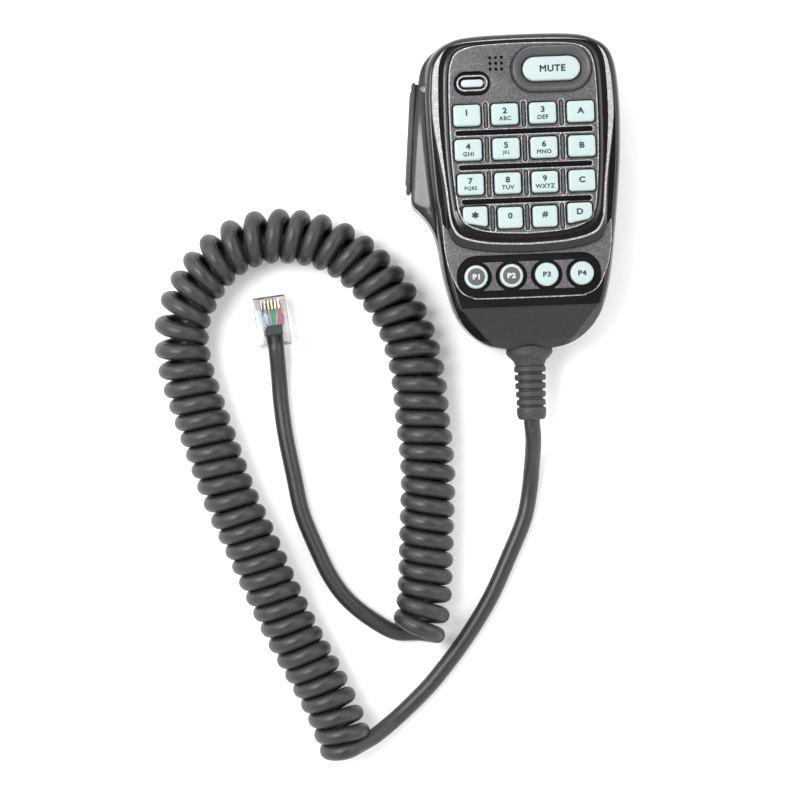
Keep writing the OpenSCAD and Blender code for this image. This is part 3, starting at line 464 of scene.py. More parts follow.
def tube(line, r, sides):
    """Circle carried along a line without twist: each frame is the last one turned by the bend between them."""
    t = np.gradient(line, axis=0)
    t /= np.linalg.norm(t, axis=1)[:, None]
    n = np.empty_like(t)
    ref = np.cross(t[0], (0, 0, 1.0))
    for k in range(len(t)):
        ref = ref - t[k] * (ref @ t[k])
        ref = ref / np.linalg.norm(ref)
        n[k] = ref
    b = np.cross(t, n)
    a = np.arange(sides) * 2 * np.pi / sides
    return line[:, None] + r * (np.cos(a)[None, :, None] * n[:, None] + np.sin(a)[None, :, None] * b[:, None])


path, curl_turns = cord_path()
rings = tube(path, CORD_R, 16)
run = np.concatenate([[0], np.cumsum(np.linalg.norm(np.diff(path, axis=0), axis=1))]) * MM
around = np.abs(np.linspace(-1, 1, 17)[:-1])
uv = np.stack(np.broadcast_arrays(around[None, :], run[:, None]), -1).reshape(-1, 2)
p, f, m = skin(rings)
caps = [np.arange(16)[::-1], (len(path) - 1) * 16 + np.arange(16)]
cord = make("cord", [(p, [tuple(q) for q in f] + [tuple(c) for c in caps], 0)], [M["cord_black"]], "mic",
            ["cord_lead", "cord_curl", "cord_tail"], uv=uv)
print("cord turns", curl_turns, "length", run[-1])

# ---------------------------------------------------------------- case outline
SHARES = [0, 0.2, 0.3, 0.48, 0.7, 0.9, 1, 0.66, 0.22, 0.03, 0, 0, 0, 0]
RIGHT = [(12, Y_TOP - 0.3), (21.5, Y_TOP - 2.2), (HALF_W - 1.7, Y_TOP - 7.4), (HALF_W, Y_TOP - 20), (HALF_W - 0.4,
        Y_TOP - 37),
         (HALF_W - 2.1, Y_TOP - 54), (HALF_W - 4.6, Y_BOT + 20), (HALF_W - 8, Y_BOT + 9.4), (14, Y_BOT + 2.6), (6,
             Y_BOT + 0.3)]
LEFT = [(21.5, Y_TOP - 2.2), (HALF_W - 1.6, Y_TOP - 7.6), (HALF_W - 0.1, Y_TOP - 16), (HALF_W, Y_TOP - 24),
        (HALF_W - 0.3, Y_TOP - 33), (HALF_W - 0.8, Y_TOP - 42), (HALF_W - 1.3, Y_TOP - 48), (HALF_W - 1.8,
            Y_TOP - 51),
        (HALF_W - 2.2, Y_TOP - 55), (HALF_W - 2.8, Y_TOP - 60), (HALF_W - 4.6, Y_BOT + 20), (HALF_W - 8, Y_BOT + 9.4),
        (14, Y_BOT + 2.6), (6, Y_BOT + 0.3)]


def case_loop(shroud=0.0, grow=0.0):
    """Case outline, counter-clockwise, its left side moved out by the shroud's share, then all of it moved out by grow."""
    left = [(-x - shroud * 5.6 * s, y) for (x, y), s in zip(LEFT, SHARES)]
    p = catmull(RIGHT[::-1] + [(-12, Y_TOP - 0.3)] + left, 8, closed=True)
    t = np.roll(p, -1, 0) - np.roll(p, 1, 0)
    t /= np.linalg.norm(t, axis=1)[:, None]
    g = np.broadcast_to(grow, len(p))[:, None]
    return p + g * np.column_stack([t[:, 1], -t[:, 0]])


def pad_loop(w, top, bottom, n=6):
    """Shield outline of the island, the panel and the rings between them."""
    side = [(0.35 * w, top), (w - 5, top - 0.9), (w - 1.2, top - 4), (w, top - 12), (w, ROW_1_Y - ROW_PITCH),
            (w - 0.9, bottom + 11), (w - 2, bottom + 5.4), (w - 4.6, bottom + 2.4), (0.5 * w,
                bottom + 0.6), (0.1 * w, bottom)]
    return catmull(side[::-1] + [(-x, y) for x, y in side], n, closed=True)


AROUND = np.radians(np.arange(0, 360, 1.25))
HUB = (0.0, 3.0)


def reach(loop):
    """Distance from the keypad's hub to a closed line, in every direction round it."""
    d = np.asarray(loop)[:, :2] - HUB
    a = np.arctan2(d[:, 1], d[:, 0]) % (2 * np.pi)
    order = np.argsort(a)
    return np.interp(AROUND, a[order], np.hypot(d[:, 0], d[:, 1])[order], period=2 * np.pi)


def spread(r, z):
    """Ring at distances r from the hub, at height z."""
    return level(np.column_stack([HUB[0] + r * np.cos(AROUND), HUB[1] + r * np.sin(AROUND)]), z)


def chin_height(x, y):
    """Height of the chin: level above the crease, then falling steadily, steeper past its slanted sides and its lower edge."""
    fall = np.maximum(CHIN_Y - y, 0) * CHIN_SLOPE
    side = np.maximum((np.abs(x) - 19.7 + (CHIN_Y - y) * 0.80) / 1.28, 0) * (y < CHIN_Y)
    lip = np.maximum(-52.0 - y, 0)
    return FACE_Z - fall - 0.95 * side - 0.5 * lip


def under_chin(p):
    """Points lowered onto the chin where they would stand above it."""
    p = np.asarray(p, float).copy()
    p[..., 2] = np.minimum(p[..., 2], chin_height(p[..., 0], p[..., 1]))
    return p


def chin_patch(edge):
    """Faceted chin: the area below the crease, split along its slanted sides and lower edge, each corner at the chin's height."""
    lines = [((19.7, CHIN_Y), (6.5, -59.5)), ((-19.7, CHIN_Y), (-6.5, -59.5)), ((-26, -52.0), (26, -52.0))]
    xs, ys = np.meshgrid(np.linspace(-22, 22, 23), np.linspace(CHIN_Y - 1, Y_BOT, 9))
    grid = np.column_stack([xs.ravel(), ys.ravel()])
    points = np.concatenate([edge[:, :2], np.array(lines).reshape(-1, 2), grid])
    n = len(edge)
    edges = [(i, (i + 1) % n) for i in range(n)] + [(n + 2 * k, n + 2 * k + 1) for k in range(3)]
    verts, _, tris, *_ = delaunay_2d_cdt([Vector(q) for q in points], edges, [], 0, 1e-5)
    v, f = np.array([tuple(q) for q in verts]), np.array([tuple(q) for q in tris])
    mid = v[f].mean(1)
    q0, q1 = edge[:, :2], np.roll(edge[:, :2], -1, 0)
    above = (q0[None, :, 1] > mid[:, 1:]) != (q1[None, :, 1] > mid[:, 1:])
    with np.errstate(divide="ignore", invalid="ignore"):
        cross = q0[None, :, 0] + (mid[:, 1:] - q0[None, :, 1]) * (q1 - q0)[None, :, 0] / (q1 - q0)[None, :, 1]
    inside = (above & (mid[:, :1] < cross)).sum(1) % 2 == 1
    f = f[inside]
    turn = np.cross(v[f[:, 1]] - v[f[:, 0]], v[f[:, 2]] - v[f[:, 0]]) < 0
    f[turn] = f[turn][:, ::-1]
    return level(v, chin_height(v[:, 0], v[:, 1])), f, 2


# key openings
KEYS = [["key_1", "key_2", "key_3", "key_a"], ["key_4", "key_5", "key_6", "key_b"],
        ["key_7", "key_8", "key_9", "key_c"], ["key_star", "key_0", "key_hash", "key_d"]]


def key_at(r, c):
    """Middle of the key in row r and column c."""
    return (c - 1.5) * COL_PITCH * ROW_SQUEEZE[r], ROW_1_Y - r * ROW_PITCH + (0.5 if r == 3 and c in (0, 3) else 0)


def key_loop(r, c, grow=0.0):
    """Outline of a key: a rounded rectangle, its lower outer corner cut at a slant on the last row's ends."""
    x, y = key_at(r, c)
    w, h = ROW_KEY_W[r] / 2, KEY_H / 2
    if r == 3 and c == 0:
        corners, radii = [(-w, -h + 1.5), (w, -h + 0.15), (w, h), (-w, h)], (2.0, 0.7, 0.8, 0.9)
    elif r == 3 and c == 3:
        corners, radii = [(-w, -h + 0.15), (w, -h + 1.5), (w, h), (-w, h)], (0.7, 2.0, 0.9, 0.8)
    else:
        corners, radii = [(-w, -h), (w, -h), (w, h), (-w, h)], KEY_R
    return rounded(corners, radii, grow) + (x, y)


def key_wells(grow):
    """Outlines of all keypad openings."""
    return [key_loop(r, c, grow) for r in range(4) for c in range(4)]


P_X = [(i - 1.5) * P_PITCH for i in range(4)]
MIC_HOLES = [(MIC_AT[0] + 1.65 * i, MIC_AT[1] + 1.65 * j) for i in (-1, 0, 1) for j in (-1, 0, 1)]


# ---------------------------------------------------------------- front case
def front_case():
    """Front half: outline rings from the parting line over the shoulder to the face, then the raised island's rings."""
    rows = [(13.0, 0.30, 1.0), (13.12, 0.12, 1.0), (13.3, 0, 1), (16, 0, 1), (19.2, 0.1, 1), (19.7, 0.15, 0.97),
            (20.1, 0.2, 0.85), (20.4, 0.25, 0.6), (20.65, 0.3, 0.35), (20.9, 0.34, 0.14), (21.2, 0.36,
                0.04), (21.6, 0.38, 0)]
    rings = [under_chin(level(case_loop(s, -d), z)) for z, d, s in rows]
    for a in np.radians([12, 24, 36, 48, 60, 70, 79, 86, 90]):
        rings.append(under_chin(level(case_loop(0, -0.38 - 1.82 * (1 - math.cos(a))), 21.6 + 4.2 * math.sin(a))))
    rings = np.array(rings)
    opening = lever_span(rings[4])
    parts = [split_skin(rings[:5], opening), skin(rings[4:])]
    parts += opening_rim(rings[4], opening, up=True)
    parts += opening_ends(rings[:5], opening)
    top, chin = cut_at(rings[-1], CHIN_Y)
    parts.append(chin_patch(chin))
    # island: below the keys it stands on its own foot, beside them it grows out of the shoulder
    y = HUB[1] + reach(case_loop()) * np.sin(AROUND)
    joined = np.clip((y + 14) / 30, 0, 1)
    joined = joined * joined * (3 - 2 * joined)
    shoulder, crest = reach(case_loop(0, -2.28)), reach(pad_loop(24.1, 33.2, -24.9))
    steps = [(24.2, 33.6, -27.6, P_SEAT_Z, 0, P_SEAT_Z, 0), (24.2, 33.6, -27.6, 25.9, 0, 25.82, 0),
             (24.1, 33.45, -27.3, 26.9, 0.1, 26.1, 0), (23.5, 33.2, -25.4, 28.15, 0.18, 26.35, 0),
             (23.35, 33.0, -25.25, 28.35, 0.3, 26.75, 1), (23.25, 33.0, -25.15, 28.45, 0.65, 27.8, 1),
             (23.1, 32.8, -25.0, 28.5, 1.0, 28.45, 1)]
    pads = []
    for w, hi, lo, z, t, z_up, k in steps:
        low = reach(pad_loop(w, hi, lo))
        high = shoulder + t * (crest - shoulder)
        pads.append(spread(low + (high - low) * joined, z + (z_up - z) * joined))
    for w, hi, lo, z in [(22.7, 32.75, -24.6, 28.35), (22.0, 32.55, -23.4, 28.5), (21.6, 32.4, -22.6, 28.85),
            (21.28, 32.26, -22.38, 28.85),
                         (21.28, 32.26, -22.38, 27.2)]:
        pads.append(spread(reach(pad_loop(w, hi, lo)), z))
    # steps whose last flag is 1 take material 1, the edge grey: a painted highlight along the island's ridge
    ridge_highlight_mats = [k[6] for k in steps[1:]] + [0] * 5
    for a, b, k in zip(pads, pads[1:], ridge_highlight_mats):
        parts.append(skin([a, b], mat=k))
    foot = pads[0]
    start = int(np.argmin(np.where(foot[:, 0] > 0, np.abs(foot[:, 1] + 20.0), 1e9)))
    turned_foot = np.roll(foot, -start, axis=0)
    upper = turned_foot[turned_foot[:, 1] > -20.5][:, :2]
    recess = p_outline(0.12)
    joint = np.concatenate([upper, p_edge(recess)])
    parts.append(lid([top, level(joint, FACE_Z)]))
    parts.append(lid([level(recess, P_SEAT_Z)]))
    parts.append(skin([level(joint, FACE_Z), level(joint, P_SEAT_Z)]))
    floor_z = 27.2
    holes = [level(q, floor_z) for q in key_wells(0.3)]
    holes.append(level(pill(MUTE_AT, MUTE_W, MUTE_H, 0.3), floor_z))
    parts.append(lid([pads[-1]] + holes))
    return make("front_shell", parts, [M["case_black"], M["edge_grey"], M["chin_black"]], "mic",
            ["front_case"])


def p_edge(outline):
    """The part of the recess outline that stands clear of the island."""
    return outline[(outline[:, 1] < -21.0) & ((outline[:, 1] < -27.2) | (np.abs(outline[:, 0]) > 22.7))]


def p_outline(grow):
    """Outline of the recess round the four programmable keys: its own edge, closed by a line just under the island's foot."""
    w, g = ISLAND_HW + 0.1 + grow, grow
    right = [(w, -18.8), (w, -21.0), (w - 0.3, -26.1), (w - 1.2, -31.2), (w - 2.7, -35.0), (w - 3.7,
            -37.2 - 0.3 * g), (w - 5.3, -39.0 - 0.7 * g),
             (w - 7.8, -40.1 - g), (w - 11.5, -40.6 - g)]
    under = [(22.5, -20.8), (20.6, -23.0), (17.5, -24.8), (11.5, -26.2), (2.3, -26.8)]
    p = right + [(-x, y) for x, y in right[::-1]]
    back = under[::-1] + [(-x, y) for x, y in under]
    edge = catmull(p[::-1], 6)
    return np.concatenate([edge, np.array(sorted(back, key=lambda q: -q[0]))])


def cut_at(loop, y0):
    """Splits a closed line at height y0 into the part above and the part below, both with the crossing points."""
    p = np.asarray(loop, float)
    q = np.roll(p, -1, 0)
    cross = np.nonzero((p[:, 1] - y0) * (q[:, 1] - y0) < 0)[0]
    t = ((y0 - p[cross, 1]) / (q[cross, 1] - p[cross, 1]))[:, None]
    at = p[cross] + t * (q[cross] - p[cross])
    at[:, 1:] = (y0, FACE_Z)
    full = np.insert(p, cross + 1, at, axis=0)
    above, below = full[full[:, 1] >= y0 - 1e-9], full[full[:, 1] <= y0 + 1e-9]
    centre = lambda r: np.arctan2(r[:, 1] - r[:, 1].mean(), r[:, 0] - r[:, 0].mean())
    above = above[np.argsort(centre(above))]
    below = below[np.argsort(centre(below))]
    above[:, 2] = FACE_Z
    return above, below


def lever_span(ring):
    """Which places along the outline lie beside the lever's opening."""
    room = 1.6
    y_hi, y_lo = GRIP_TOP[1] + room, GRIP_TOP[1] - (GRIP_L + room) * math.cos(LEAN)
    return (ring[:, 0] < -20) & (ring[:, 1] < y_hi) & (ring[:, 1] > y_lo)


def split_skin(rings, gap):
    """The skin of a band of rings, without the faces beside the lever's opening."""
    p, f, m = skin(rings)
    n = rings.shape[1]
    return p, [tuple(q) for q in f if not (gap[q % n].all())], m


def opening_rim(ring, gap, up):
    """Edge of the lever's opening turned inward by the wall's thickness."""
    edge = ring[np.nonzero(gap)[0]]
    return [skin([edge, edge + (2.4, 0, 0)], closed=False, flip=up)]


def opening_ends(rings, gap):
    """End walls of the lever's opening, each starting on the skin's own edge."""
    k = np.nonzero(gap)[0]
    sides = [(rings[:, k[0]], True), (rings[:, k[-1]], False)]
    return [skin([side, side + (2.4, 0, 0)], closed=False, flip=flip) for side, flip in sides]


front_case()


# ---------------------------------------------------------------- rear case
def rear_case():
    """Back half: outline rings from the parting groove round to the back, then the palm swell's rings and its flat foot."""
    rows = [(7.0, 3.2, 0.5), (7.12, 2.5, 0.6), (7.4, 1.7, 0.72), (7.9, 1.0, 0.85), (8.8, 0.45, 0.95), (9.6, 0.2,
            1), (10.6, 0, 1),
            (12.7, 0, 1), (12.88, 0.12, 1), (13.0, 0.3, 1)]
    rings = np.array([level(case_loop(s, -d), z) for z, d, s in rows])
    opening = lever_span(rings[4])
    parts = [skin(rings[:4]), split_skin(rings[3:], opening)]
    parts += opening_rim(rings[3], opening, up=False)
    parts += opening_ends(rings[3:], opening)
    a = np.arange(72) * np.pi / 36
    palm = lambda inset: np.column_stack([(PALM_A - inset) * np.cos(a), PALM_Y + (PALM_B - inset) * np.sin(a)])
    steps = [(-0.5, 7.0), (0.0, 6.9), (0.3, 6.6), (0.7, 5.6), (1.1, 4.4), (1.8, 3.0), (2.9, 1.75), (4.6, 0.75),
            (6.6, 0.2), (8.0, 0.0)]
    swell = [level(palm(d), z) for d, z in steps]
    well_r, well_deep = 2.3, 2.6
    wells = [ring_loop(s, well_r) for s in SCREWS if s[1] > 0]
    parts.append(lid([rings[0], level(palm(-0.5), BACK_Z)] + [level(q, BACK_Z) for q in wells], up=False))
    parts.append(skin(swell, flip=True))
    parts.append(lid([swell[-1]], up=False))
    for q in wells:
        parts.append(skin([level(q, BACK_Z), level(q, BACK_Z + well_deep)]))
        parts.append(lid([level(q, BACK_Z + well_deep)], up=False))
    return make("rear_shell", parts, [M["shell_black"]], "mic", ["rear_case"])


rear_case()


def hang_stud():
    """Hanging stud: a rounded head, a neck filleted at both roots and a flanged foot, turned round a stepped bore."""
    head, neck, foot, seat = 5.5, 3.2, 6.6, BACK_Z - 0.95
    profile = [(1.3, 2.4), (2.25, 2.4), (2.25, 0.3), (2.4, 0.08), (2.7, 0), (head - 0.5, 0), (head - 0.15, 0.12),
            (head, 0.45), (head, 1.2),
               (head - 0.12, 1.48), (head - 0.4, 1.6), (neck + 0.5, 1.62), (neck + 0.15, 1.75), (neck,
                   2.1), (neck, seat - 0.5),
               (neck + 0.15, seat - 0.15), (neck + 0.5, seat), (foot - 0.3, seat), (foot - 0.08,
                   seat + 0.08), (foot, seat + 0.3),
               (foot, BACK_Z - 0.05), (1.3, BACK_Z - 0.05), (1.3, 2.4)]
    rings = [level(ring_loop((0, 0), r, n=48), z) for r, z in profile]
    return make("stud_body", [skin(rings)], [M["shell_black"]], "mic", ["hang_stud"], sharp=40)


hang_stud()


# ---------------------------------------------------------------- keypad panel
def keypad_panel():
    """Grey plate with bevelled key windows, upright slots between the keys and level grooves between the rows."""
    top, low = PANEL_Z, 27.25
    outer = lambda g: pad_loop(PANEL_HW + g, PANEL_TOP_Y + g, PANEL_BOT_Y - g)
    shapes = [lambda g, r=r, c=c: key_loop(r, c, 0.42 + g) for r in range(4) for c in range(4)]
    slots = [lambda g, c=c, r=r: box_loop((c * COL_PITCH * ROW_SQUEEZE[r], ROW_1_Y - r * ROW_PITCH), 1.35, 7.5,
            0.66, g)
             for c in (-1, 0, 1) for r in range(4)]
    grooves = [lambda g, r=r: box_loop((0, ROW_1_Y - (r + 0.5) * ROW_PITCH), 39.4 - 1.1 * r, 1.5, 0.7,
            g) for r in range(3)]
    holes = [lambda g, q=q: ring_loop(q, 0.45, g, 14) for q in MIC_HOLES]
    others = [lambda g: pill(MUTE_AT, 23.4, 13.5, g), lambda g: pill(STATUS_AT, 10.5, 6.9, g)]
    parts = [lid([level(outer(-0.3), top)] + [level(s(0.26 if s not in holes else 0.08),
            top) for s in shapes + slots + grooves + holes + others])]
    # material 2, the edge grey, paints a highlight on the plate's bevelled rim
    parts.append(walls(outer, [(0, low), (0, top - 0.25), (-0.1, top - 0.08), (-0.3, top)], mat=2))
    for s in shapes + slots + grooves + holes + others:
        deep = low if s in shapes or s in others else top - 0.75
        lip = [(0.26, top), (0.1, top - 0.07), (0, top - 0.2)] if s not in holes else [(0.08, top), (0, top - 0.2)]
        # the lips of the slots and grooves take material 2, the edge grey: a painted highlight
        parts.append(walls(s, lip, mat=2 if s in slots + grooves else 0))
        parts.append(walls(s, [(0, top - 0.2), (0, deep)], mat=1))
        if deep > low:
            parts.append(lid([level(s(0), deep)], mat=1))
    for s in slots:
        bar = lambda g, s=s: s(g - 0.3)
        parts.append(walls(bar, [(0, top - 0.75), (-0.02, top - 0.2), (-0.12, top - 0.1)], mat=0))
        parts.append(lid([level(bar(-0.12), top - 0.1)], mat=0))
    for r, s in enumerate(grooves):
        y = ROW_1_Y - (r + 0.5) * ROW_PITCH
        bar = lambda g, r=r, y=y: box_loop((0, y), 38.4 - 1.1 * r, 0.55, 0.25, g)
        parts.append(walls(bar, [(0, top - 0.75), (-0.03, top - 0.35), (-0.16, top - 0.2)], mat=1))
        parts.append(lid([level(bar(-0.16), top - 0.2)], mat=1))
    return make("keypad_plate", parts, [M["panel_grey"], M["case_black"], M["edge_grey"]], "mic",
            ["keypad_panel"])


keypad_panel()


def p_panel():
    """Grey plate of the programmable keys: a black well for the four keys with waisted islands between them."""
    top, deep = P_Z, P_SEAT_Z + 0.02
    outer = lambda g: p_outline(g)
    well = lambda g: box_loop((0, P_Y), 41.4, 12.0, 5.6, g)
    parts = [lid([level(outer(-0.25), top), level(well(0.12), top)])]
    # material 2, the edge grey, paints a highlight on the plate's bevelled rim
    parts.append(walls(outer, [(0, P_SEAT_Z), (0, top - 0.2), (-0.08, top - 0.05), (-0.25, top)], mat=2))
    parts.append(walls(well, [(0.12, top), (0, top - 0.12), (0, deep)], mat=1))
    keys = [level(ring_loop((x, P_Y), P_R, 0.3), deep) for x in P_X]
    parts.append(lid([level(well(0), deep)] + keys, mat=1))
    a = np.radians(np.linspace(63, -63, 19))
    for x0, x1 in zip(P_X, P_X[1:]):
        r = 4.55
        one = np.column_stack([x0 + r * np.cos(a), P_Y + r * np.sin(a)])
        two = np.column_stack([x1 - r * np.cos(a[::-1]), P_Y + r * np.sin(a[::-1])])
        isle = np.concatenate([one, two])
        mid = isle.mean(0)
        inner = mid + (isle - mid) * 0.93
        parts.append(skin([level(isle, deep), level(isle, top - 0.15), level(inner, top - 0.02)], mat=0))
        parts.append(lid([level(inner, top - 0.02)], mat=0))
    return make("p_key_plate", parts, [M["panel_grey"], M["case_black"], M["edge_grey"]], "mic",
            ["p_key_panel"])


p_panel()


def bezels():
    """Mute key's dished ring and the status light's double ring."""
    ring = lambda g: pill(MUTE_AT, MUTE_W, MUTE_H, g)
    steps = [(3.3, 27.3), (3.3, 29.0), (3.15, 29.6), (2.85, 30.15), (2.55, 30.4), (2.3, 30.42), (2.0, 30.22),
            (1.4, 29.65), (0.75, 29.1),
             (0.4, 28.95), (0.32, 28.8), (0.3, 27.3)]
    make("mute_ring", [walls(ring, steps)], [M["ring_grey"]], "mic", ["mute_bezel"], sharp=50)
    eye = lambda g: pill(STATUS_AT, 6.4, 2.1, g)
    black = [(2.05, 27.3), (2.05, 28.55), (1.3, 28.5), (1.25, 29.3)]
    # the crest between the black bands takes the edge grey: a painted highlight
    highlight_band = [(1.25, 29.3), (1.15, 29.55), (0.95, 29.6), (0.8, 29.5)]
    inside = [(0.8, 29.5), (0.7, 28.7), (0.12, 28.6), (0.1, 27.3)]
    make("status_ring", [walls(eye, black, mat=0), walls(eye, highlight_band, mat=1), walls(eye, inside, mat=0)],
         [M["case_black"], M["edge_grey"]], "mic", ["status_bezel"])
    bar = [(0, 24.0), (0, 29.1), (-0.1, 29.3), (-0.35, 29.4)]
    make("status_window", [walls(eye, bar), lid([level(eye(-0.35), 29.4)]), lid([level(eye(0), 24.0)], up=False)],
         [M["lens_white"]], "mic", ["status_lens"])


bezels()


# ---------------------------------------------------------------- keys and legends
def cap(name, loop, low, top, mat, body):
    """Key cap: its outline carried up, over a rounded edge and in over a slight crown."""
    steps = [(0.6, low), (0.6, low + 0.5), (0, low + 0.5), (0, top - 0.62), (-0.05, top - 0.36), (-0.17,
            top - 0.16), (-0.38, top - 0.04), (-0.75, top)]
    parts = [walls(loop, steps), lid([level(loop(-0.75), top)]), lid([level(loop(0.6), low)], up=False)]
    return make(name + "_cap", parts, [mat], body, [name], sharp=45)


def legend(name, body, lines, mat):
    """Raised-ink legend: each line of letters as flat shapes of a set height, centred, joined in one mesh."""
    parts = []
    for text, x, y, z, high, wide, bold in lines:
        curve = bpy.data.curves.new(name, "FONT")
        curve.body, curve.size, curve.align_x, curve.align_y = text, 1.0, "CENTER", "CENTER"
        curve.bevel_depth, curve.extrude, curve.resolution_u, curve.space_character = bold, 0.004, 5, 1.12
        holder = bpy.data.objects.new(name, curve)
        bpy.context.scene.collection.objects.link(holder)
        bpy.context.view_layer.update()
        mesh = bpy.data.meshes.new_from_object(holder)
        co = np.empty(len(mesh.vertices) * 3)
        mesh.vertices.foreach_get("co", co)
        co = co.reshape(-1, 3)
        tall = np.ptp(co[:, 1])
        scale = high / tall
        co[:, :2] -= (co[:, :2].max(0) + co[:, :2].min(0)) / 2
        co = co * (scale * wide, scale, 0.2) + (x, y, z)
        parts.append((co, [tuple(q.vertices) for q in mesh.polygons], 0))
        bpy.data.objects.remove(holder)
        bpy.data.meshes.remove(mesh)
        bpy.data.curves.remove(curve)
    return make(name, parts, [mat], body, sharp=20)


LEGENDS = {"key_1": "1", "key_2": "2 ABC", "key_3": "3 DEF", "key_a": "A", "key_4": "4 GHI", "key_5": "5 JKL",
           "key_6": "6 MNO", "key_b": "B", "key_7": "7 PQRS", "key_8": "8 TUV", "key_9": "9 WXYZ", "key_c": "C",
           "key_star": "*", "key_0": "0", "key_hash": "#", "key_d": "D"}


def keypad_keys():
    """Sixteen mint keys with their legends."""
    top = PANEL_Z + 1.2
    for r in range(4):
        for c in range(4):
            name = KEYS[r][c]
            cap(name, lambda g, r=r, c=c: key_loop(r, c, g), 25.2, top, M["key_mint"], name)
            x, y = key_at(r, c)
            marks = LEGENDS[name].split(" ")
            z = top + 0.004
            if len(marks) == 2:
                lines = [(marks[0], x, y + 0.95, z, 1.75, 1.12, 0.042), (marks[1], x, y - 1.25, z, 1.3, 1.0, 0.036)]
            elif name == "key_1":
                lines = [("1", x - 0.1, y + 0.75, z, 1.75, 1.12, 0.042)]
            elif r == 3:
                lines = [(marks[0], x, y + 0.5, z, 2.0 if marks[0] == "*" else 1.75, 1.12, 0.042)]
            else:
                lines = [(marks[0], x, y + 0.2, z, 1.75, 1.15, 0.046)]
            legend(name + "_legend", name, lines, M["legend"])


keypad_keys()


def other_keys():
    """Mute key and the four programmable keys, two of them dark discs in a white rim."""
    cap("key_mute", lambda g: pill(MUTE_AT, MUTE_W, MUTE_H, g), 25.2, 29.9, M["key_mint"], "key_mute")
    legend("key_mute_legend", "key_mute", [("MUTE", MUTE_AT[0] + 0.3, MUTE_AT[1], 29.904, 2.0, 1.04, 0.04)],
            M["legend"])
    for i, x in enumerate(P_X):
        name, top = f"key_p{i + 1}", FACE_Z + 1.3
        cap(name, lambda g, x=x: ring_loop((x, P_Y), P_R, g, 48), 23.6, top, M["key_mint"], name)
        if i < 2:
            disc = lambda g, x=x: ring_loop((x, P_Y), 2.5, g, 40)
            make(name + "_disc", [walls(disc, [(0, top - 0.05), (0, top + 0.02), (-0.05, top + 0.03)]),
                    lid([level(disc(-0.05), top + 0.03)])],
                 [M["key_grey"]], name)
        ink = M["legend_white"] if i < 2 else M["legend"]
        z = top + (0.034 if i < 2 else 0.004)
        legend(name + "_legend", name, [(f"P{i + 1}", x, P_Y, z, 1.55, 1.15, 0.046)], ink)


other_keys()


# ---------------------------------------------------------------- lever grip
def grip():
    """Ribbed rubber bar: its section's outer edge rises and falls with the ribs along the lever."""
    n = 27 * 8
    d = np.linspace(0, GRIP_L, n)
    rib = 0.5 + 0.5 * np.cos(2 * np.pi * (d - 3) * 27 / (GRIP_L - 4))
    live = np.clip(np.minimum(d - 2.2, GRIP_L - 2.2 - d) / 0.4, 0, 1)
    proud = 0.38 - 0.38 * (rib**2) * live
    ends = np.clip(np.minimum(d, GRIP_L - d) / 0.7, 0, 1)
    shrink = 0.5 * (1 - np.sqrt(1 - (1 - ends) ** 2))
    zmid, half = (GRIP_Z0 + GRIP_Z1) / 2, (GRIP_Z1 - GRIP_Z0) / 2
    sect = []
    for u, v, ribbed in ((1.5, -1, 0), (0.75, -1, 0), (0.5, -0.96, 0.2), (0.35, -0.86, 0.6), (0.0, -0.8, 1), (0.0,
            0.0, 1),
                         (0.0, 0.8, 1), (0.35, 0.86, 0.6), (0.5, 0.96, 0.2), (0.75, 1, 0), (1.5, 1, 0)):
        into = u + ribbed * proud * (1 if u == 0 else 0.3) + shrink * (1.5 - u) / 1.5
        x = GRIP_TOP[0] - d * math.sin(LEAN) + into * math.cos(LEAN)
        y = GRIP_TOP[1] - d * math.cos(LEAN) - into * math.sin(LEAN)
        sect.append(np.column_stack([x, y, zmid + v * (half - shrink * 0.6)]))
    rings = np.array(sect).transpose(1, 0, 2)
    p, f, m = skin(rings, closed=True, flip=True)
    k = rings.shape[1]
    caps = [tuple(range(k)), tuple((n - 1) * k + i for i in range(k - 1, -1, -1))]
    return make("grip_bar", [(p, [tuple(q) for q in f] + caps, 0)], [M["rubber_black"]], "ptt",
            ["ptt_grip"], sharp=40)


grip()


# ---------------------------------------------------------------- sleeve and plug
def turned(profile, n=48, origin=(0, 0, 13)):
    """Profile of (distance along the axis, radius) turned round the axis."""
    prof = np.asarray(profile, float)
    a = np.arange(n) * 2 * np.pi / n
    x = prof[:, 1][:, None] * np.cos(a)[None]
    z = prof[:, 1][:, None] * np.sin(a)[None]
    y = np.broadcast_to(prof[:, 0][:, None], x.shape)
    return np.stack([x, y, z], -1) + np.asarray(origin, float)


def sleeve():
    """Moulded cord sleeve: a flare at the case, flattened in height, then rounded ribs that shrink towards a collar."""
    prof = [(-50.8, 4.0), (-52.5, 5.2), (-53.8, 6.3), (-55.0, 6.75), (-55.6, 6.85), (-56.2, 6.82), (-56.9, 6.4),
            (-57.6, 5.7), (-58.3, 5.0), (-59.0, 4.55),
            (-59.7, 4.4), (-60.1, 4.2), (-60.3, 3.6)]
    for i in range(5):
        y, r = Y_BOT - 5.55 - 2.45 * i, 4.68 - 0.09 * i
        prof += [(y + s, r - d) for s, d in ((0.94, r - 3.6), (0.86, 0.3), (0.66, 0.06), (0.3, 0), (-0.3, 0),
                (-0.66, 0.06), (-0.86, 0.3), (-0.94, r - 3.6))]
    prof += [(-72.0, 3.6), (-72.15, 4.05), (-72.5, 4.3), (-73.2, 4.35), (-74.6, 4.2), (-75.3, 4.0), (-75.7, 3.6),
            (-75.8, 3.1), (-75.8, 2.45), (-74.0, 2.42)]
    rings = turned(prof)
    rings[..., 2] = 13 + (rings[..., 2] - 13) * (1 - 0.16 * np.clip((rings[..., 1] + 59) / 3, 0, 1))
    return make("cord_sleeve", [skin(rings, flip=False)], [M["rubber_black"]], "mic",
            ["strain_relief"], sharp=40)


sleeve()


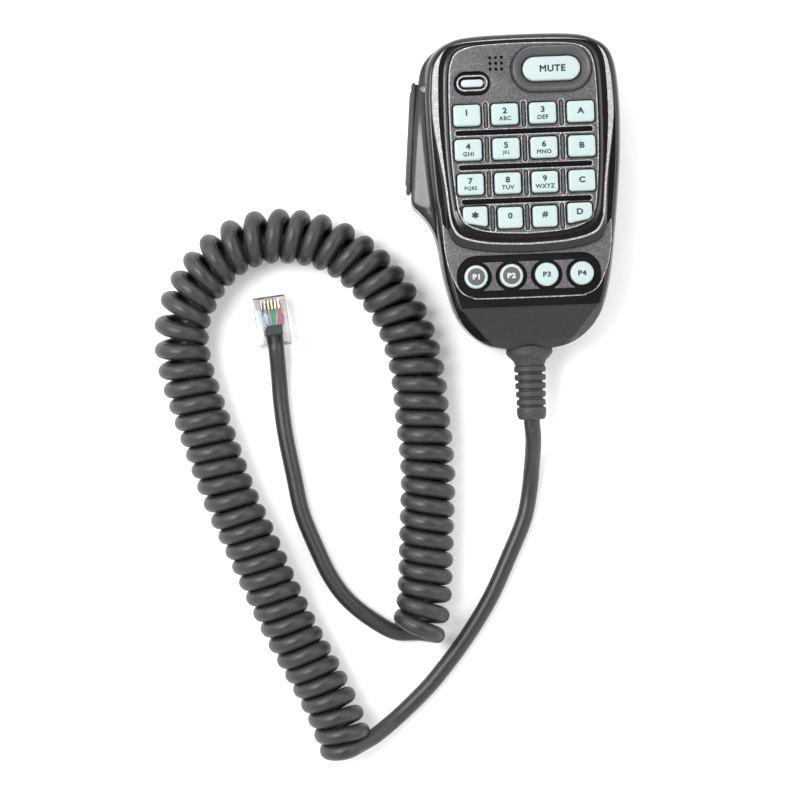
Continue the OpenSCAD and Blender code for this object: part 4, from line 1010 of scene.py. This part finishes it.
def plug():
    """Clear six-way plug with a stepped nose, contact slots, gilt blades and coloured wires: this builds the bevelled
    shell and the wires.
    """
    w, t = 9.6, 6.6
    low = t - 0.7
    pitch, wire_r, wire_z, sides = 1.02, 0.43, 2.5, 10
    sect = lambda g, top: rounded([(-w / 2, 0), (w / 2, 0), (w / 2, top), (-w / 2, top)], 0.35, g, 4)
    rows = [(0.0, -0.5, t), (0.15, -0.15, t), (0.5, 0, t), (9.2, 0, t), (9.5, 0, low), (13.9, 0, low), (14.25,
            -0.15, low), (14.4, -0.45, low)]
    rings = []
    for y, g, top in rows:
        s = sect(g, top)
        rings.append(in_plug(np.column_stack([s[:, 0], np.full(len(s), y), s[:, 1]])))
    p, f, m = skin(rings, flip=True)
    k = len(rings[0])
    caps = [tuple(range(k)), tuple((len(rows) - 1) * k + i for i in range(k - 1, -1, -1))]
    shell = make("plug_shell", [(p, [tuple(q) for q in f] + caps, 0)], [M["plug_clear"]], "mic",
            ["plug_body"], sharp=40)
    pieces = [shell]
    colours = ["wire_colours", "legend_white", "legend_white", "wire_green", "legend_white", "wire_pink"]
    for i in range(6):
        x = (i - 2.5) * pitch
        a = np.arange(sides) * 2 * np.pi / sides
        ys = [6.0, 7.5, 9.0, 10.5, 12.0, 12.8]
        spread = np.interp(ys, [6, 9], [0.75, 1.0])
        tube_rings = [in_plug(np.column_stack([x * s + wire_r * np.cos(a), np.full(sides, y),
                wire_z + wire_r * np.sin(a)])) for y, s in zip(ys, spread)]
        p, f, m = skin(tube_rings, flip=True)
        pieces.append(make(f"plug_wire_{i + 1}", [(p, [tuple(q) for q in f] + [tuple(range(10)),
                tuple(50 + j for j in range(9, -1, -1))], 0)],
                           [M[colours[i]]], "mic", ["plug_wires"]))
    return pieces


plug_pieces = plug()

# ---------------------------------------------------------------- finishes of the CAD nodes
SLOT_OF = {s["node"]: s["material_slot"] for s in frame["record"]["subparts"]}
for name, piece in frame["nodes"].items():
    piece.data.materials.clear()
    piece.data.materials.append(M[SLOT_OF[name]])
